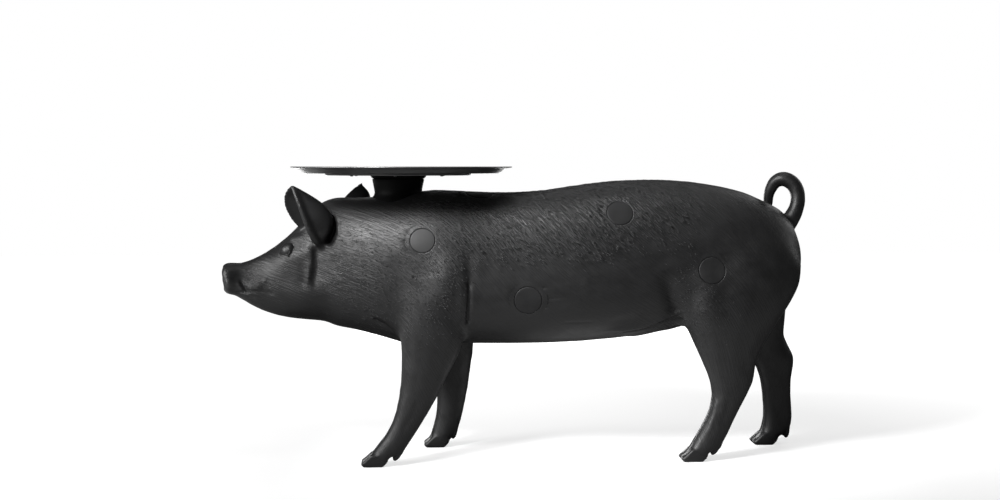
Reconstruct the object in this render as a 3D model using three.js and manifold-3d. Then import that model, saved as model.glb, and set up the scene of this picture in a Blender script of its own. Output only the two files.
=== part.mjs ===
// Life-size moulded pig that carries a round tray on its neck: a side table in black resin.
// Millimetres, +Z up. The pig faces -X, its left side is -Y, and it stands on z = 0.
// The body is built whole from smooth lofts, then parted into its limbs by thin cuts.
// Rows and places along X are written about the withers; every finished piece moves by -middleX.
import * as THREE from 'three';
import { mergeVertices } from 'three/addons/utils/BufferGeometryUtils.js';
import Module from 'manifold-3d';

const wasm = await Module();
wasm.setup();

// ---- driving dimensions ----
const gap = 0.3;                 // clearance between neighbouring pieces
const far = 2000;                // larger than the whole object, for cutting boxes
const middleX = 8.5;             // halfway from the snout to the right hock, brought to x = 0
const fineness = {
  bodySides: 24, bodyRings: 1.2, legSides: 12, legRings: 1.1,
  earSides: 14, earRings: 9, tailSides: 8, tailRings: 21,
  discSides: 14, eyeSides: 10, eyeRings: 6, traySides: 40, pedestalSides: 26,
};

// Rows of the trunk and neck from inside the head to the rump:
// [x, top, bottom, half width, level of the greatest width, squareness]
const trunkRows = [
  [-566, 545, 545, 0, 545, 2],
  [-550, 628, 430, 74, 530, 2.1],
  [-508, 690, 364, 106, 520, 2.2],
  [-450, 691.5, 350, 128, 510, 2.3],
  [-375, 695, 331, 149, 500, 2.3],
  [-290, 706, 305, 164, 495, 2.35],
  [-205, 714.5, 306, 172, 495, 2.4],
  [-120, 709, 305, 169, 492, 2.4],
  [-30, 706, 304.5, 170, 490, 2.4],
  [65, 711, 305, 176, 490, 2.4],
  [165, 726, 309, 180, 492, 2.4],
  [265, 737.5, 317, 178, 498, 2.35],
  [360, 741, 328, 171, 505, 2.3],
  [450, 737, 347, 165, 515, 2.25],
  [535, 725.5, 373, 163, 525, 2.2],
  [615, 706.5, 396, 155, 530, 2.15],
  [680, 676, 414, 136, 535, 2.1],
  [726, 650, 430, 106, 535, 2],
  [753, 596, 455, 66, 535, 2],
  [766, 556, 490, 30, 525, 2],
  [768, 522, 522, 0, 522, 2],
];

// The head from the snout back into the neck, before it is turned, in the same columns.
const headRows = [
  [-770.5, 484, 484, 0, 484, 2],
  [-771, 506, 463, 28, 484, 2.3],
  [-768, 515, 452, 38, 483, 2.3],
  [-759, 519.5, 445, 42.5, 482, 2.3],
  [-744, 521, 443, 39, 480, 2.2],
  [-722, 523, 427, 37, 474, 2.1],
  [-690, 534.5, 407, 43, 468, 2.1],
  [-652, 554, 390, 57, 463, 2.15],
  [-612, 583.5, 379.5, 77, 462, 2.2],
  [-578, 615, 374, 93, 468, 2.2],
  [-540, 660, 370, 104, 480, 2.2],
  [-500, 676, 366, 106, 490, 2.2],
  [-460, 672, 370, 96, 500, 2.1],
  [-430, 620, 430, 50, 520, 2],
  [-425, 530, 530, 0, 530, 2],
];
const headYaw = 6 * Math.PI / 180;      // the head is turned a little to the pig's left
const headPivotX = -480;

// The legs from inside the body down to the foot: [z, front x, back x, y of the middle, half width]
const legs = {
  front_left: {
    rows: [
      [655, -215, -215, -86, 0], [630, -258, -170, -90, 34], [570, -300, -142, -98, 58],
      [490, -322, -129, -104, 68], [410, -321, -129, -107, 69], [350, -309, -135, -110, 62],
      [300, -304, -150, -111, 52], [255, -304, -172, -111, 45], [210, -306, -195, -110, 39],
      [170, -312, -214, -110, 35], [130, -321, -238, -110, 33], [95, -336, -259, -110, 31],
      [60, -360, -282, -110, 31], [32, -385, -300, -110, 32], [15, -380, -312, -110, 28],
      [8, -352, -352, -110, 0],
    ],
    parting: 303, knee: 186, toe: [-408, -110], spur: [90, 15],
  },
  front_right: {
    rows: [
      [655, -195, -195, 88, 0], [630, -240, -150, 92, 34], [570, -285, -122, 100, 58],
      [490, -309, -106, 106, 68], [410, -303, -101, 110, 69], [350, -281, -103, 115, 62],
      [300, -256, -106, 118, 52], [255, -236, -110, 120, 45], [210, -221, -117, 121, 39],
      [170, -212, -122, 122, 35], [130, -209, -130, 122, 33], [95, -212, -137, 122, 31],
      [60, -219, -146, 122, 31], [32, -230, -156, 122, 32], [15, -225, -166, 122, 28],
      [8, -200, -200, 122, 0],
    ],
    parting: 303, knee: 186, toe: [-246, 122], spur: [85, 22],
  },
  hind_left: {
    rows: [
      [665, 600, 600, -76, 0], [635, 540, 660, -82, 44], [565, 446, 734, -88, 72],
      [500, 404, 753, -91, 83], [445, 401, 737, -93, 84], [395, 417, 707, -95, 79],
      [350, 444, 675, -95, 70], [305, 466, 648, -95, 58], [268, 483, 632, -95, 48],
      [235, 498, 627, -95, 41], [205, 508, 622, -95, 37], [165, 513, 602, -95, 34],
      [125, 502, 581, -95, 32], [90, 484, 565, -95, 31], [58, 467, 550, -95, 32],
      [30, 449, 532, -95, 32], [15, 448, 512, -95, 28], [8, 480, 480, -95, 0],
    ],
    parting: 332, knee: 215, toe: [430, -95], spur: [86, 17],
  },
  hind_right: {
    rows: [
      [665, 625, 625, 78, 0], [635, 562, 690, 84, 44], [565, 470, 747, 92, 72],
      [500, 440, 770, 96, 83], [445, 445, 767, 100, 84], [395, 482, 764, 102, 79],
      [350, 530, 762, 103, 68], [312, 587, 757, 104, 54], [280, 632, 770, 105, 45],
      [245, 665, 788, 105, 40], [215, 682, 786, 105, 37], [170, 696, 779, 105, 34],
      [125, 701, 781, 105, 32], [90, 703, 784, 105, 31], [58, 701, 784, 105, 32],
      [32, 691, 770, 105, 32], [15, 693, 746, 105, 28], [8, 717, 717, 105, 0],
    ],
    parting: 332, knee: 222, toe: [670, 105], spur: [100, 18],
  },
};

// A foot: two claws with flat soles under a sloping coronet, and two dewclaws behind.
const claw = { length: 70, width: 27, spread: 15.5, wall: 31, height: 32, heelHeight: 25, edge: 4 };
const dewclaw = { spread: 16, radius: 9, length: 36, lean: 16 };

// Where the body is parted along its length.
const headPlane = { x: -518, lean: 0.04 };
const neckPlaneX = -352;
const chestPlaneX = -94;
const rumpPlaneX = 388;
const mouth = { front: [-730, 441], corner: [-641, 447], throat: [-628, 360] };
const snoutPlane = { top: [-727, 521], bottom: [-738, 441] };

const eye = { radius: 15, x: -600, y: 56, z: 557 };
// Each ear: the line of its back from root through bend to tip, and where its hollow faces.
const ears = {
  left: { root: [-490, -74, 588], bend: [-475, -96, 655], tip: [-580, -120, 728], open: [-0.86, -0.56, -0.36] },
  right: { root: [-446, 78, 592], bend: [-379, 100, 667], tip: [-412, 124, 728], open: [-0.85, 0.5, 0.1] },
};
const earRows = [                // [radius of the curl, half angle of the curl in degrees]
  [17, 160], [28, 148], [34, 128], [37, 116], [38.5, 112], [42, 112], [52, 112],
];
const earWall = 4;

// The tail's middle line, a loop that drops behind the ridge of the rump: [x, y, z, radius]
const tailLine = [
  [700, 0, 580, 25], [726, 0, 610, 24], [748, 0, 637, 21], [761, 0, 664, 18.5], [764, 3, 692, 18],
  [758, 7, 720, 17.5], [744, 12, 737, 17], [726, 18, 744, 16], [709, 25, 738, 14.5],
  [698, 32, 721, 13], [691, 38, 700, 11.5], [690, 43, 680, 8.5],
];
const tailSplitZ = 702;

// Smooth round discs let into the hide: [x, y, z, direction of the face]
const disc = { radius: 35, proud: 0.8, depth: 3.2 };
const discs = {
  shoulder_left: [-248, -160, 587, [0, -1, 0.28]],
  back_left: [263, -160, 669, [0, -1, 0.72]],
  belly_left: [26, -160, 438, [0, -1, -0.14]],
  ham_left: [497, -160, 505, [0, -1, 0]],
  withers: [-101, -40, 702, [0, -0.12, 1]],
  shoulder_right: [-240, 160, 587, [0, 1, 0.28]],
  belly_right: [60, 160, 470, [0, 1, -0.05]],
  ham_right: [560, 160, 520, [0, 1, 0]],
};

// The tray and what holds it, as radii and heights.
const tray = {
  x: -301, rimRadius: 292, lipRadius: 274, floorRadius: 258, rimTop: 775, lipUnder: 769.5,
  lipTop: 772.5, floorTop: 760.5, floorUnder: 757,
};
const trayPlate = { x: -311, radius: 193, thickness: 5 };
const flange = { x: -310.5, radius: 73.5, lowRadius: 67, height: 9 };
const pedestal = { x: -311, topRadius: 68.5, waistRadius: 60, footRadius: 72, waistZ: 714, footZ: 674 };
const screw = { radius: 4.5, height: 2.6, ring: 135, count: 6, startAngle: 28 };

// ---- finishes ----
function resin(roughness) {
  return new THREE.MeshStandardMaterial({ color: 0x1a1a1b, roughness, metalness: 0 });
}
const hide = resin(0.42);
const smoothResin = resin(0.34);
const horn = resin(0.38);
const gloss = resin(0.12);
const lacquer = new THREE.MeshStandardMaterial({ color: 0x101011, roughness: 0.3, metalness: 0.1 });
const steel = new THREE.MeshStandardMaterial({ color: 0x1d1d1f, roughness: 0.35, metalness: 0.8 });

// ---- solids ----
function solid(geometry) {
  const bare = geometry.clone();
  bare.deleteAttribute('normal');
  bare.deleteAttribute('uv');
  const merged = mergeVertices(bare, 1e-3);
  return new wasm.Manifold(new wasm.Mesh({
    numProp: 3,
    vertProperties: merged.attributes.position.array,
    triVerts: Uint32Array.from(merged.index.array),
  }));
}

function surface(body) {
  const mesh = body.getMesh();
  const geometry = new THREE.BufferGeometry();
  geometry.setAttribute('position', new THREE.BufferAttribute(mesh.vertProperties, 3));
  geometry.setIndex(new THREE.BufferAttribute(mesh.triVerts, 1));
  geometry.computeVertexNormals();
  return geometry;
}

const model = new THREE.Group();

function add(name, body, material) {
  const mesh = new THREE.Mesh(surface(body).translate(-middleX, 0, 0), material);
  mesh.name = name;
  model.add(mesh);
}

function boxBetween(low, high) {
  const size = high.map((value, i) => value - low[i]);
  const box = new THREE.BoxGeometry(...size);
  box.translate(...low.map((value, i) => value + size[i] / 2));
  return solid(box);
}

// The half space in front of a plane, as a large box that stops half a gap short of it.
function halfSpace(point, normal) {
  const direction = new THREE.Vector3(...normal).normalize();
  const box = new THREE.BoxGeometry(far, far, far);
  box.translate(0, 0, far / 2 + gap / 2);
  box.applyQuaternion(new THREE.Quaternion().setFromUnitVectors(new THREE.Vector3(0, 0, 1), direction));
  box.translate(...point);
  return solid(box);
}

// Both sides of a plane: [behind, in front].
function part(body, point, normal) {
  const back = normal.map((value) => -value);
  return [body.intersect(halfSpace(point, back)), body.intersect(halfSpace(point, normal))];
}

// ---- lofts ----
// A sphere whose rings are moved one by one, so it stays closed whatever its form.
function warpedSphere(sides, rings, place) {
  const geometry = new THREE.SphereGeometry(1, sides, rings);
  const position = geometry.attributes.position;
  for (let ring = 0; ring <= rings; ring += 1) {
    for (let side = 0; side <= sides; side += 1) {
      const angle = (side % sides) / sides * 2 * Math.PI;
      const point = place(angle, ring / rings);
      position.setXYZ(ring * (sides + 1) + side, point.x, point.y, point.z);
    }
  }
  return geometry;
}

// Reads a table of rows as smooth curves: the share t of the way down gives one blended row.
function rowsAt(rows, t) {
  const place = Math.min(t * (rows.length - 1), rows.length - 1 - 1e-9);
  const i = Math.floor(place);
  const f = place - i;
  const at = (k) => rows[Math.max(0, Math.min(rows.length - 1, k))];
  return rows[i].map((_, column) => {
    const a = at(i - 1)[column];
    const b = at(i)[column];
    const c = at(i + 1)[column];
    const d = at(i + 2)[column];
    return b + 0.5 * f * (c - a + f * (2 * a - 5 * b + 4 * c - d + f * (3 * (b - c) + d - a)));
  });
}

function rounded(value, squareness) {
  return Math.sign(value) * Math.abs(value) ** (2 / squareness);
}

// A body along X, whose cross sections have their own top, bottom, width and squareness.
function bodyLoft(rows, swell) {
  const rings = Math.round((rows.length - 1) * fineness.bodyRings);
  return warpedSphere(fineness.bodySides, rings, (angle, t) => {
    const [x, top, bottom, half, level, squareness] = rowsAt(rows, t);
    const closing = Math.min(1, Math.max(0, half) / 20);
    const up = rounded(Math.sin(angle), squareness);
    const reach = up > 0 ? top - level + swell * closing : level - bottom + swell * closing;
    const out = (Math.max(0, half) + swell * closing) * rounded(-Math.cos(angle), squareness);
    const endwise = swell * (1 - closing) * (t > 0.5 ? 1 : -1);
    return new THREE.Vector3(x + endwise, out, level + reach * up);
  });
}

// A limb along -Z, whose cross sections have their own front, back, middle and width.
function legLoft(rows, swell) {
  const rings = Math.round((rows.length - 1) * fineness.legRings);
  return warpedSphere(fineness.legSides, rings, (angle, t) => {
    const [z, front, back, y, half] = rowsAt(rows, t);
    const depth = Math.max(0, (back - front) / 2);
    const closing = Math.min(1, Math.max(0, half) / 20);
    const grow = swell * closing;
    return new THREE.Vector3(
      (front + back) / 2 - (depth + grow) * rounded(Math.cos(angle), 2.15),
      y - (Math.max(0, half) + grow) * rounded(Math.sin(angle), 2.15),
      z + swell * (1 - closing) * (t < 0.5 ? 1 : -1),
    );
  });
}

// Turns what belongs to the head about the upright line through the poll.
function turnHead(geometry) {
  geometry.translate(-headPivotX, 0, 0);
  geometry.rotateZ(headYaw);
  geometry.translate(headPivotX, 0, 0);
  return geometry;
}

function headLoft(swell) {
  return turnHead(bodyLoft(headRows, swell));
}

// The whole body without ears, tail and claws, grown by swell.
function flesh(swell) {
  let body = solid(bodyLoft(trunkRows, swell)).add(solid(headLoft(swell)));
  for (const leg of Object.values(legs)) {
    body = body.add(solid(legLoft(leg.rows, swell)));
  }
  return body;
}

// An ear is a leaf curled about its back: nearly a tube at the root, open towards the tip.
function earLoft({ root, bend, tip, open }) {
  const [start, middle, end] = [root, bend, tip].map((point) => new THREE.Vector3(...point));
  const back = new THREE.QuadraticBezierCurve3(start, middle, end);
  return warpedSphere(fineness.earSides, fineness.earRings, (angle, share) => {
    const t = 1 - (1 - share) ** 1.5;
    const axis = back.getTangent(t);
    const facing = new THREE.Vector3(...open);
    facing.addScaledVector(axis, -facing.dot(axis)).normalize();
    const side = facing.clone().cross(axis);
    const [curlRadius, halfAngle] = rowsAt(earRows, t);
    const radius = t === 0 ? 0 : curlRadius * Math.sqrt(1 - t ** 9);
    const curl = -Math.cos(angle) * THREE.MathUtils.degToRad(halfAngle);
    const inward = facing.clone().multiplyScalar(Math.cos(curl)).addScaledVector(side, -Math.sin(curl));
    const closing = Math.min(1, 8 * Math.min(t, 1 - t));
    return back.getPoint(t)
      .addScaledVector(side, radius * Math.sin(curl))
      .addScaledVector(facing, radius * (1 - Math.cos(curl)))
      .addScaledVector(inward, earWall * (1.5 - 0.7 * t) * Math.sin(angle) * closing);
  });
}

function tailLoft(swell) {
  const line = new THREE.CatmullRomCurve3(tailLine.map(([x, y, z]) => new THREE.Vector3(x, y, z)));
  const radii = tailLine.map((row) => [row[3]]);
  return warpedSphere(fineness.tailSides, fineness.tailRings, (angle, t) => {
    const centre = line.getPoint(t);
    const tangent = line.getTangent(t);
    const across = new THREE.Vector3(0, 1, 0).addScaledVector(tangent, -tangent.y).normalize();
    const up = tangent.clone().cross(across);
    const end = Math.min(1, Math.sqrt(12 * Math.min(t, 1 - t)));
    const radius = (rowsAt(radii, t)[0] + swell) * (t === 0 || t === 1 ? 0 : end);
    return centre
      .addScaledVector(across, -Math.cos(angle) * radius)
      .addScaledVector(up, Math.sin(angle) * radius);
  });
}

// ---- feet ----
// The coronet, where horn meets hide, is a plane that drops a little towards the heel.
function coronet([toeX, toeY]) {
  const slope = (claw.height - claw.heelHeight) / claw.length;
  return { point: [toeX + claw.wall, toeY, claw.height], normal: [slope, 0, 1] };
}

function clawSolid([toeX, toeY], side) {
  const { length, width, spread, wall, height, edge } = claw;
  const outline = new THREE.Shape();
  outline.moveTo(2.5 * edge, edge);
  outline.lineTo(length - 4 * edge, edge);
  outline.lineTo(length - edge, 4 * edge);
  outline.lineTo(length - edge, height);
  outline.lineTo(wall + 2.5 * edge, height + 2 * edge);
  outline.lineTo(1.4 * edge, 2 * edge);
  outline.closePath();
  const geometry = new THREE.ExtrudeGeometry(outline, {
    depth: width - 2 * edge, bevelEnabled: true, bevelSize: edge, bevelThickness: edge, bevelSegments: 1,
  });
  geometry.rotateX(Math.PI / 2);
  geometry.translate(toeX, toeY + side * spread + width / 2 - edge, 0);
  return solid(geometry);
}

function dewclawSolid([toeX, toeY], [behind, height], side) {
  const { spread, radius, length, lean } = dewclaw;
  const tip = new THREE.Vector3(toeX + behind - 4, toeY + side * spread, height - 3);
  const root = new THREE.Vector3(toeX + behind - 4 - lean, toeY + side * (spread - 4), height + length);
  const axis = root.clone().sub(tip).normalize();
  const outline = [[0, 0], [radius * 0.6, 2], [radius, 13], [radius, length - 4], [0, length]];
  const geometry = new THREE.LatheGeometry(outline.map(([r, h]) => new THREE.Vector2(r, h)), 8);
  geometry.applyQuaternion(new THREE.Quaternion().setFromUnitVectors(new THREE.Vector3(0, 1, 0), axis));
  geometry.translate(tip.x, tip.y, tip.z);
  return solid(geometry);
}

// ---- round discs ----
function discCutter([x, y, z, facing], radius) {
  const geometry = new THREE.CylinderGeometry(radius, radius, 120, fineness.discSides);
  const direction = new THREE.Vector3(...facing).normalize();
  geometry.applyQuaternion(
    new THREE.Quaternion().setFromUnitVectors(new THREE.Vector3(0, 1, 0), direction));
  geometry.translate(x, y, z);
  return solid(geometry);
}

// ---- tray and pedestal ----
function turned(outline, x, segments) {
  const geometry = new THREE.LatheGeometry(outline.map(([r, z]) => new THREE.Vector2(r, z)), segments);
  geometry.rotateX(Math.PI / 2);
  geometry.translate(x, 0, 0);
  return solid(geometry);
}

function traySolid() {
  const { rimRadius, lipRadius, floorRadius, rimTop, lipTop, lipUnder, floorTop, floorUnder } = tray;
  return turned([
    [0, floorUnder], [floorRadius - 4, floorUnder], [floorRadius + 5, floorUnder + 4],
    [lipRadius, lipUnder], [rimRadius, lipUnder + 2.4], [rimRadius, rimTop - 1.2],
    [rimRadius - 1.6, rimTop], [lipRadius + 1, lipTop], [floorRadius + 2, floorTop + 2.5],
    [floorRadius - 6, floorTop], [0, floorTop],
  ], tray.x, fineness.traySides);
}

function pedestalSolid(body) {
  const { x, topRadius, waistRadius, footRadius, waistZ, footZ } = pedestal;
  const top = tray.floorUnder - gap - trayPlate.thickness - gap - flange.height - gap;
  const outline = [
    [0, footZ - 30], [footRadius + 16, footZ - 30], [footRadius + 6, footZ + 14],
    [waistRadius + 2.5, waistZ - 12], [waistRadius, waistZ],
    [topRadius - 3, top - 8], [topRadius, top - 2], [topRadius - 1, top], [0, top],
  ];
  return turned(outline, x, fineness.pedestalSides).subtract(body);
}

// ---- assembly ----
function addFeet(name, { toe, spur, rows }, lowerLeg) {
  const { point, normal } = coronet(toe);
  const [, shank] = part(lowerLeg, point, normal);
  const grownLeg = solid(legLoft(rows, gap));
  for (const [where, side] of [['outer', Math.sign(toe[1])], ['inner', -Math.sign(toe[1])]]) {
    const [hoof] = part(clawSolid(toe, side), point, normal);
    add(`hoof_${name}_${where}`, hoof, horn);
    add(`dewclaw_${name}_${where}`, dewclawSolid(toe, spur, side).subtract(grownLeg), horn);
  }
  add(`leg_${name}_lower`, shank, hide);
}

function build() {
  const swollen = flesh(disc.proud);
  const shrunk = flesh(-disc.depth);
  const socketFloor = flesh(-disc.depth - gap);
  const spread = flesh(gap);
  let body = flesh(0);

  for (const [name, place] of Object.entries(discs)) {
    const cutter = discCutter(place, disc.radius);
    const socket = discCutter(place, disc.radius + gap);
    add(`disc_${name}`, swollen.intersect(cutter).subtract(shrunk), smoothResin);
    body = body.subtract(socket.subtract(socketFloor));
  }

  add('pedestal', pedestalSolid(spread), smoothResin);

  for (const [name, leg] of Object.entries(legs)) {
    const side = Math.sign(leg.toe[1]);
    const [minX, maxX] = name.startsWith('front') ? [-600, 0] : [425, 900];
    const low = [minX, side < 0 ? -far : 0, -50];
    const limb = body.intersect(boxBetween(low, [maxX, side < 0 ? 0 : far, leg.parting - gap]));
    body = body.subtract(boxBetween(low, [maxX, side < 0 ? 0 : far, leg.parting]));
    const [lower, upper] = part(limb, [0, 0, leg.knee], [0, 0, 1]);
    add(`leg_${name}_upper`, upper, hide);
    addFeet(name, leg, lower);
  }

  const [rest, rump] = part(body, [rumpPlaneX, 0, 0], [1, 0, 0]);
  const [front, belly] = part(rest, [chestPlaneX, 0, 0], [1, 0, 0]);
  const [fore, chest] = part(front, [neckPlaneX, 0, 0], [1, 0, 0]);
  const [skull, neck] = part(fore, [headPlane.x, 0, 520], [1, 0, headPlane.lean]);
  add('rump', rump, hide);
  add('belly', belly, hide);
  add('chest', chest, hide);
  add('neck', neck, hide);
  addHead(skull);
  addTail(spread);
  for (const [name, ear] of Object.entries(ears)) {
    add(`ear_${name}`, solid(earLoft(ear)).subtract(spread), smoothResin);
  }
  addTray();
}

function addHead(skull) {
  let head = skull;
  for (const [name, side] of [['left', -1], ['right', 1]]) {
    const place = [eye.x, side * eye.y, eye.z];
    const sphere = (radius) => solid(turnHead(
      new THREE.SphereGeometry(radius, fineness.eyeSides, fineness.eyeRings).translate(...place)));
    add(`eye_${name}`, sphere(eye.radius), gloss);
    head = head.subtract(sphere(eye.radius + gap));
  }
  const snoutNormal = [snoutPlane.top[1] - snoutPlane.bottom[1], 0, snoutPlane.bottom[0] - snoutPlane.top[0]];
  const [snout, face] = part(head, [snoutPlane.top[0], 0, snoutPlane.top[1]], snoutNormal);
  const jawShape = (grow) => {
    const { front, corner, throat } = mouth;
    const shape = new THREE.Shape();
    shape.moveTo(front[0] - 100, front[1] - 5 + grow);
    shape.lineTo(front[0], front[1] + grow);
    shape.lineTo(corner[0] + grow, corner[1] + grow);
    shape.lineTo(throat[0] + grow, throat[1] - 60);
    shape.lineTo(front[0] - 100, throat[1] - 60);
    shape.closePath();
    const block = new THREE.ExtrudeGeometry(shape, { depth: 600, bevelEnabled: false });
    return solid(block.rotateX(Math.PI / 2).translate(0, 300, 0));
  };
  add('snout', snout, smoothResin);
  add('jaw', face.intersect(jawShape(0)), hide);
  add('head', face.subtract(jawShape(gap)), hide);
}

function addTail(spread) {
  const tail = solid(tailLoft(0)).subtract(spread);
  const behind = 712;
  const base = boxBetween([behind, -far, 0], [far, far, tailSplitZ]);
  const rest = boxBetween([behind - gap, -far, 0], [far, far, tailSplitZ + gap]);
  add('tail_base', tail.intersect(base), smoothResin);
  add('tail_curl', tail.subtract(rest), smoothResin);
}

function addTray() {
  const plateTop = tray.floorUnder - gap;
  const plateUnder = plateTop - trayPlate.thickness;
  const flangeTop = plateUnder - gap;
  const flangeUnder = flangeTop - flange.height;
  add('tray', traySolid(), lacquer);
  add('tray_plate', turned([
    [0, plateUnder], [trayPlate.radius - 2, plateUnder], [trayPlate.radius, plateUnder + 2],
    [trayPlate.radius, plateTop], [0, plateTop],
  ], trayPlate.x, fineness.traySides), lacquer);
  add('flange', turned([
    [0, flangeUnder], [flange.lowRadius, flangeUnder], [flange.radius, flangeTop - 3],
    [flange.radius, flangeTop], [0, flangeTop],
  ], flange.x, fineness.pedestalSides), smoothResin);
  for (let i = 0; i < screw.count; i += 1) {
    const angle = THREE.MathUtils.degToRad(screw.startAngle + 360 / screw.count * i);
    const geometry = new THREE.CylinderGeometry(screw.radius, screw.radius - 1, screw.height, 6);
    geometry.rotateX(Math.PI / 2);
    geometry.translate(
      trayPlate.x + screw.ring * Math.cos(angle),
      screw.ring * Math.sin(angle),
      plateUnder - gap - screw.height / 2,
    );
    add(`tray_screw_${i + 1}`, solid(geometry), steel);
  }
}

build();

export default model;
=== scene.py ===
import math

import bmesh
import bpy
import numpy as np
from mathutils import Matrix, Vector
from mathutils.bvhtree import BVHTree
from mathutils.interpolate import poly_3d_calc


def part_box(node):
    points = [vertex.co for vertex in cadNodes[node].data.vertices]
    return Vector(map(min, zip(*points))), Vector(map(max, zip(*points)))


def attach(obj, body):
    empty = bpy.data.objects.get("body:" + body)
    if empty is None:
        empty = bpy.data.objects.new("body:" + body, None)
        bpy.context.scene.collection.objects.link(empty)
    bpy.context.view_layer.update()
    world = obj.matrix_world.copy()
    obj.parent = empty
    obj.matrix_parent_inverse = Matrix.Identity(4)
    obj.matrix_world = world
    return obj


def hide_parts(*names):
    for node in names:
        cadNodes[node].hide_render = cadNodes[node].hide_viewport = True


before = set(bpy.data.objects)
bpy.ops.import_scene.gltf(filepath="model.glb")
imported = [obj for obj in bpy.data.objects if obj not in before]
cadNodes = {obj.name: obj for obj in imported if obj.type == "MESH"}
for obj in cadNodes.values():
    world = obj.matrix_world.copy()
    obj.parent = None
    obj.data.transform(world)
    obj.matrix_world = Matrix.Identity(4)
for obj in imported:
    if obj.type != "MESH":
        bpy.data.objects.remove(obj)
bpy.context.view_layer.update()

scene = bpy.context.scene
mm = 0.001
# the head is turned about an upright line through the neck
headYaw = math.radians(6)
headPivot = -488.5 * mm


# small helpers

def newObject(name, data):
    # a piece that takes a node's place has the node's name without its low lines
    first, *others = name.split("_")
    name = first + "".join(word.capitalize() for word in others)
    thing = bpy.data.objects.new(name, data)
    scene.collection.objects.link(thing)
    return thing


def fromBmesh(name, shape):
    mesh = bpy.data.meshes.new(name)
    shape.to_mesh(mesh)
    shape.free()
    return newObject(name, mesh)


def settle(thing):
    # turns the live modifiers into the mesh itself
    graph = bpy.context.evaluated_depsgraph_get()
    mesh = bpy.data.meshes.new_from_object(thing.evaluated_get(graph))
    thing.modifiers.clear()
    old = thing.data
    thing.data = mesh
    bpy.data.meshes.remove(old)
    mesh.name = thing.name


def modify(thing, kind, **values):
    modifier = thing.modifiers.new(kind.title(), kind)
    for key, value in values.items():
        setattr(modifier, key, value)


def finishPiece(thing, material, slot, *nodes):
    # its material and the CAD nodes whose place it takes; the slot is not used
    thing.data.materials.append(material)
    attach(thing, "root")
    if nodes:
        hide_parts(*nodes)


def readVectors(mesh, what="co"):
    source = mesh.vertices if what == "co" else mesh.vertex_normals
    flat = np.empty(len(mesh.vertices) * 3, np.float32)
    source.foreach_get("co" if what == "co" else "vector", flat)
    return flat.reshape(-1, 3).astype(float)


def writePoints(mesh, points):
    mesh.vertices.foreach_set("co", points.astype(np.float32).ravel())
    mesh.update()


def writeAttribute(mesh, name, kind, values):
    field = mesh.attributes.new(name, kind, "POINT")
    key = {"FLOAT": "value", "FLOAT_VECTOR": "vector"}[kind]
    field.data.foreach_set(key, np.asarray(values, np.float32).ravel())


def ease(value, low, high):
    t = np.clip((value - low) / (high - low), 0, 1)
    return t * t * (3 - 2 * t)


def bell(value, middle, width):
    return np.exp(-((value - middle) / width) ** 2)


def unit(vectors):
    length = np.linalg.norm(vectors, axis=-1, keepdims=True)
    return vectors / np.maximum(length, 1e-9)


def turnedTo(way, place):
    # stands something made along Z at a place, along another way
    turn = Vector((0, 0, 1)).rotation_difference(way).to_matrix().to_4x4()
    return Matrix.Translation(place) @ turn


def treeOf(thing):
    shape = bmesh.new()
    shape.from_mesh(thing.data)
    tree = BVHTree.FromBMesh(shape)
    shape.free()
    return tree


def newMaterial(name):
    material = bpy.data.materials.new(name)
    material.use_nodes = True
    nodes, links = material.node_tree.nodes, material.node_tree.links
    return material, nodes, links, nodes["Principled BSDF"]


def rangeNode(nodes, links, source, fromRange, toRange):
    node = nodes.new("ShaderNodeMapRange")
    node.inputs["From Min"].default_value, node.inputs["From Max"].default_value = fromRange
    node.inputs["To Min"].default_value, node.inputs["To Max"].default_value = toRange
    links.new(source, node.inputs["Value"])
    return node.outputs["Result"]


# materials: black resin everywhere, told apart by gloss, grain and relief, with one darker copy of the smooth
# resin as painted shade

def newGroup(name, inputs, outputs):
    group = bpy.data.node_groups.new(name, "ShaderNodeTree")
    for label, kind in inputs:
        group.interface.new_socket(label, in_out="INPUT", socket_type=kind)
    for label, kind in outputs:
        group.interface.new_socket(label, in_out="OUTPUT", socket_type=kind)
    return group, group.nodes.new("NodeGroupInput"), group.nodes.new("NodeGroupOutput")


def stretchedNoise(nodes, links, vector, stretch, detail):
    scaled = nodes.new("ShaderNodeVectorMath")
    scaled.operation = "MULTIPLY"
    scaled.inputs[1].default_value = stretch
    links.new(vector, scaled.inputs[0])
    noise = nodes.new("ShaderNodeTexNoise")
    noise.inputs["Scale"].default_value = 1.0
    noise.inputs["Detail"].default_value = detail
    noise.inputs["Roughness"].default_value = 0.55
    links.new(scaled.outputs[0], noise.inputs["Vector"])
    return noise.outputs["Fac"]


def mathNode(nodes, links, operation, *values):
    node = nodes.new("ShaderNodeMath")
    node.operation = operation
    for socket, value in zip(node.inputs, values):
        if isinstance(value, (int, float)):
            socket.default_value = value
        else:
            links.new(value, socket)
    return node.outputs[0]


hairValues = {
    # sizes of the streaks along the hair, through the body and across the hair, in metres
    "streaks": (0.048, 0.040, 0.0025), "detail": 0.8, "fine": (0.014, 0.012, 0.0013), "fineShare": 0.3,
    "contrast": (0.4, 0.62),
}


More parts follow.
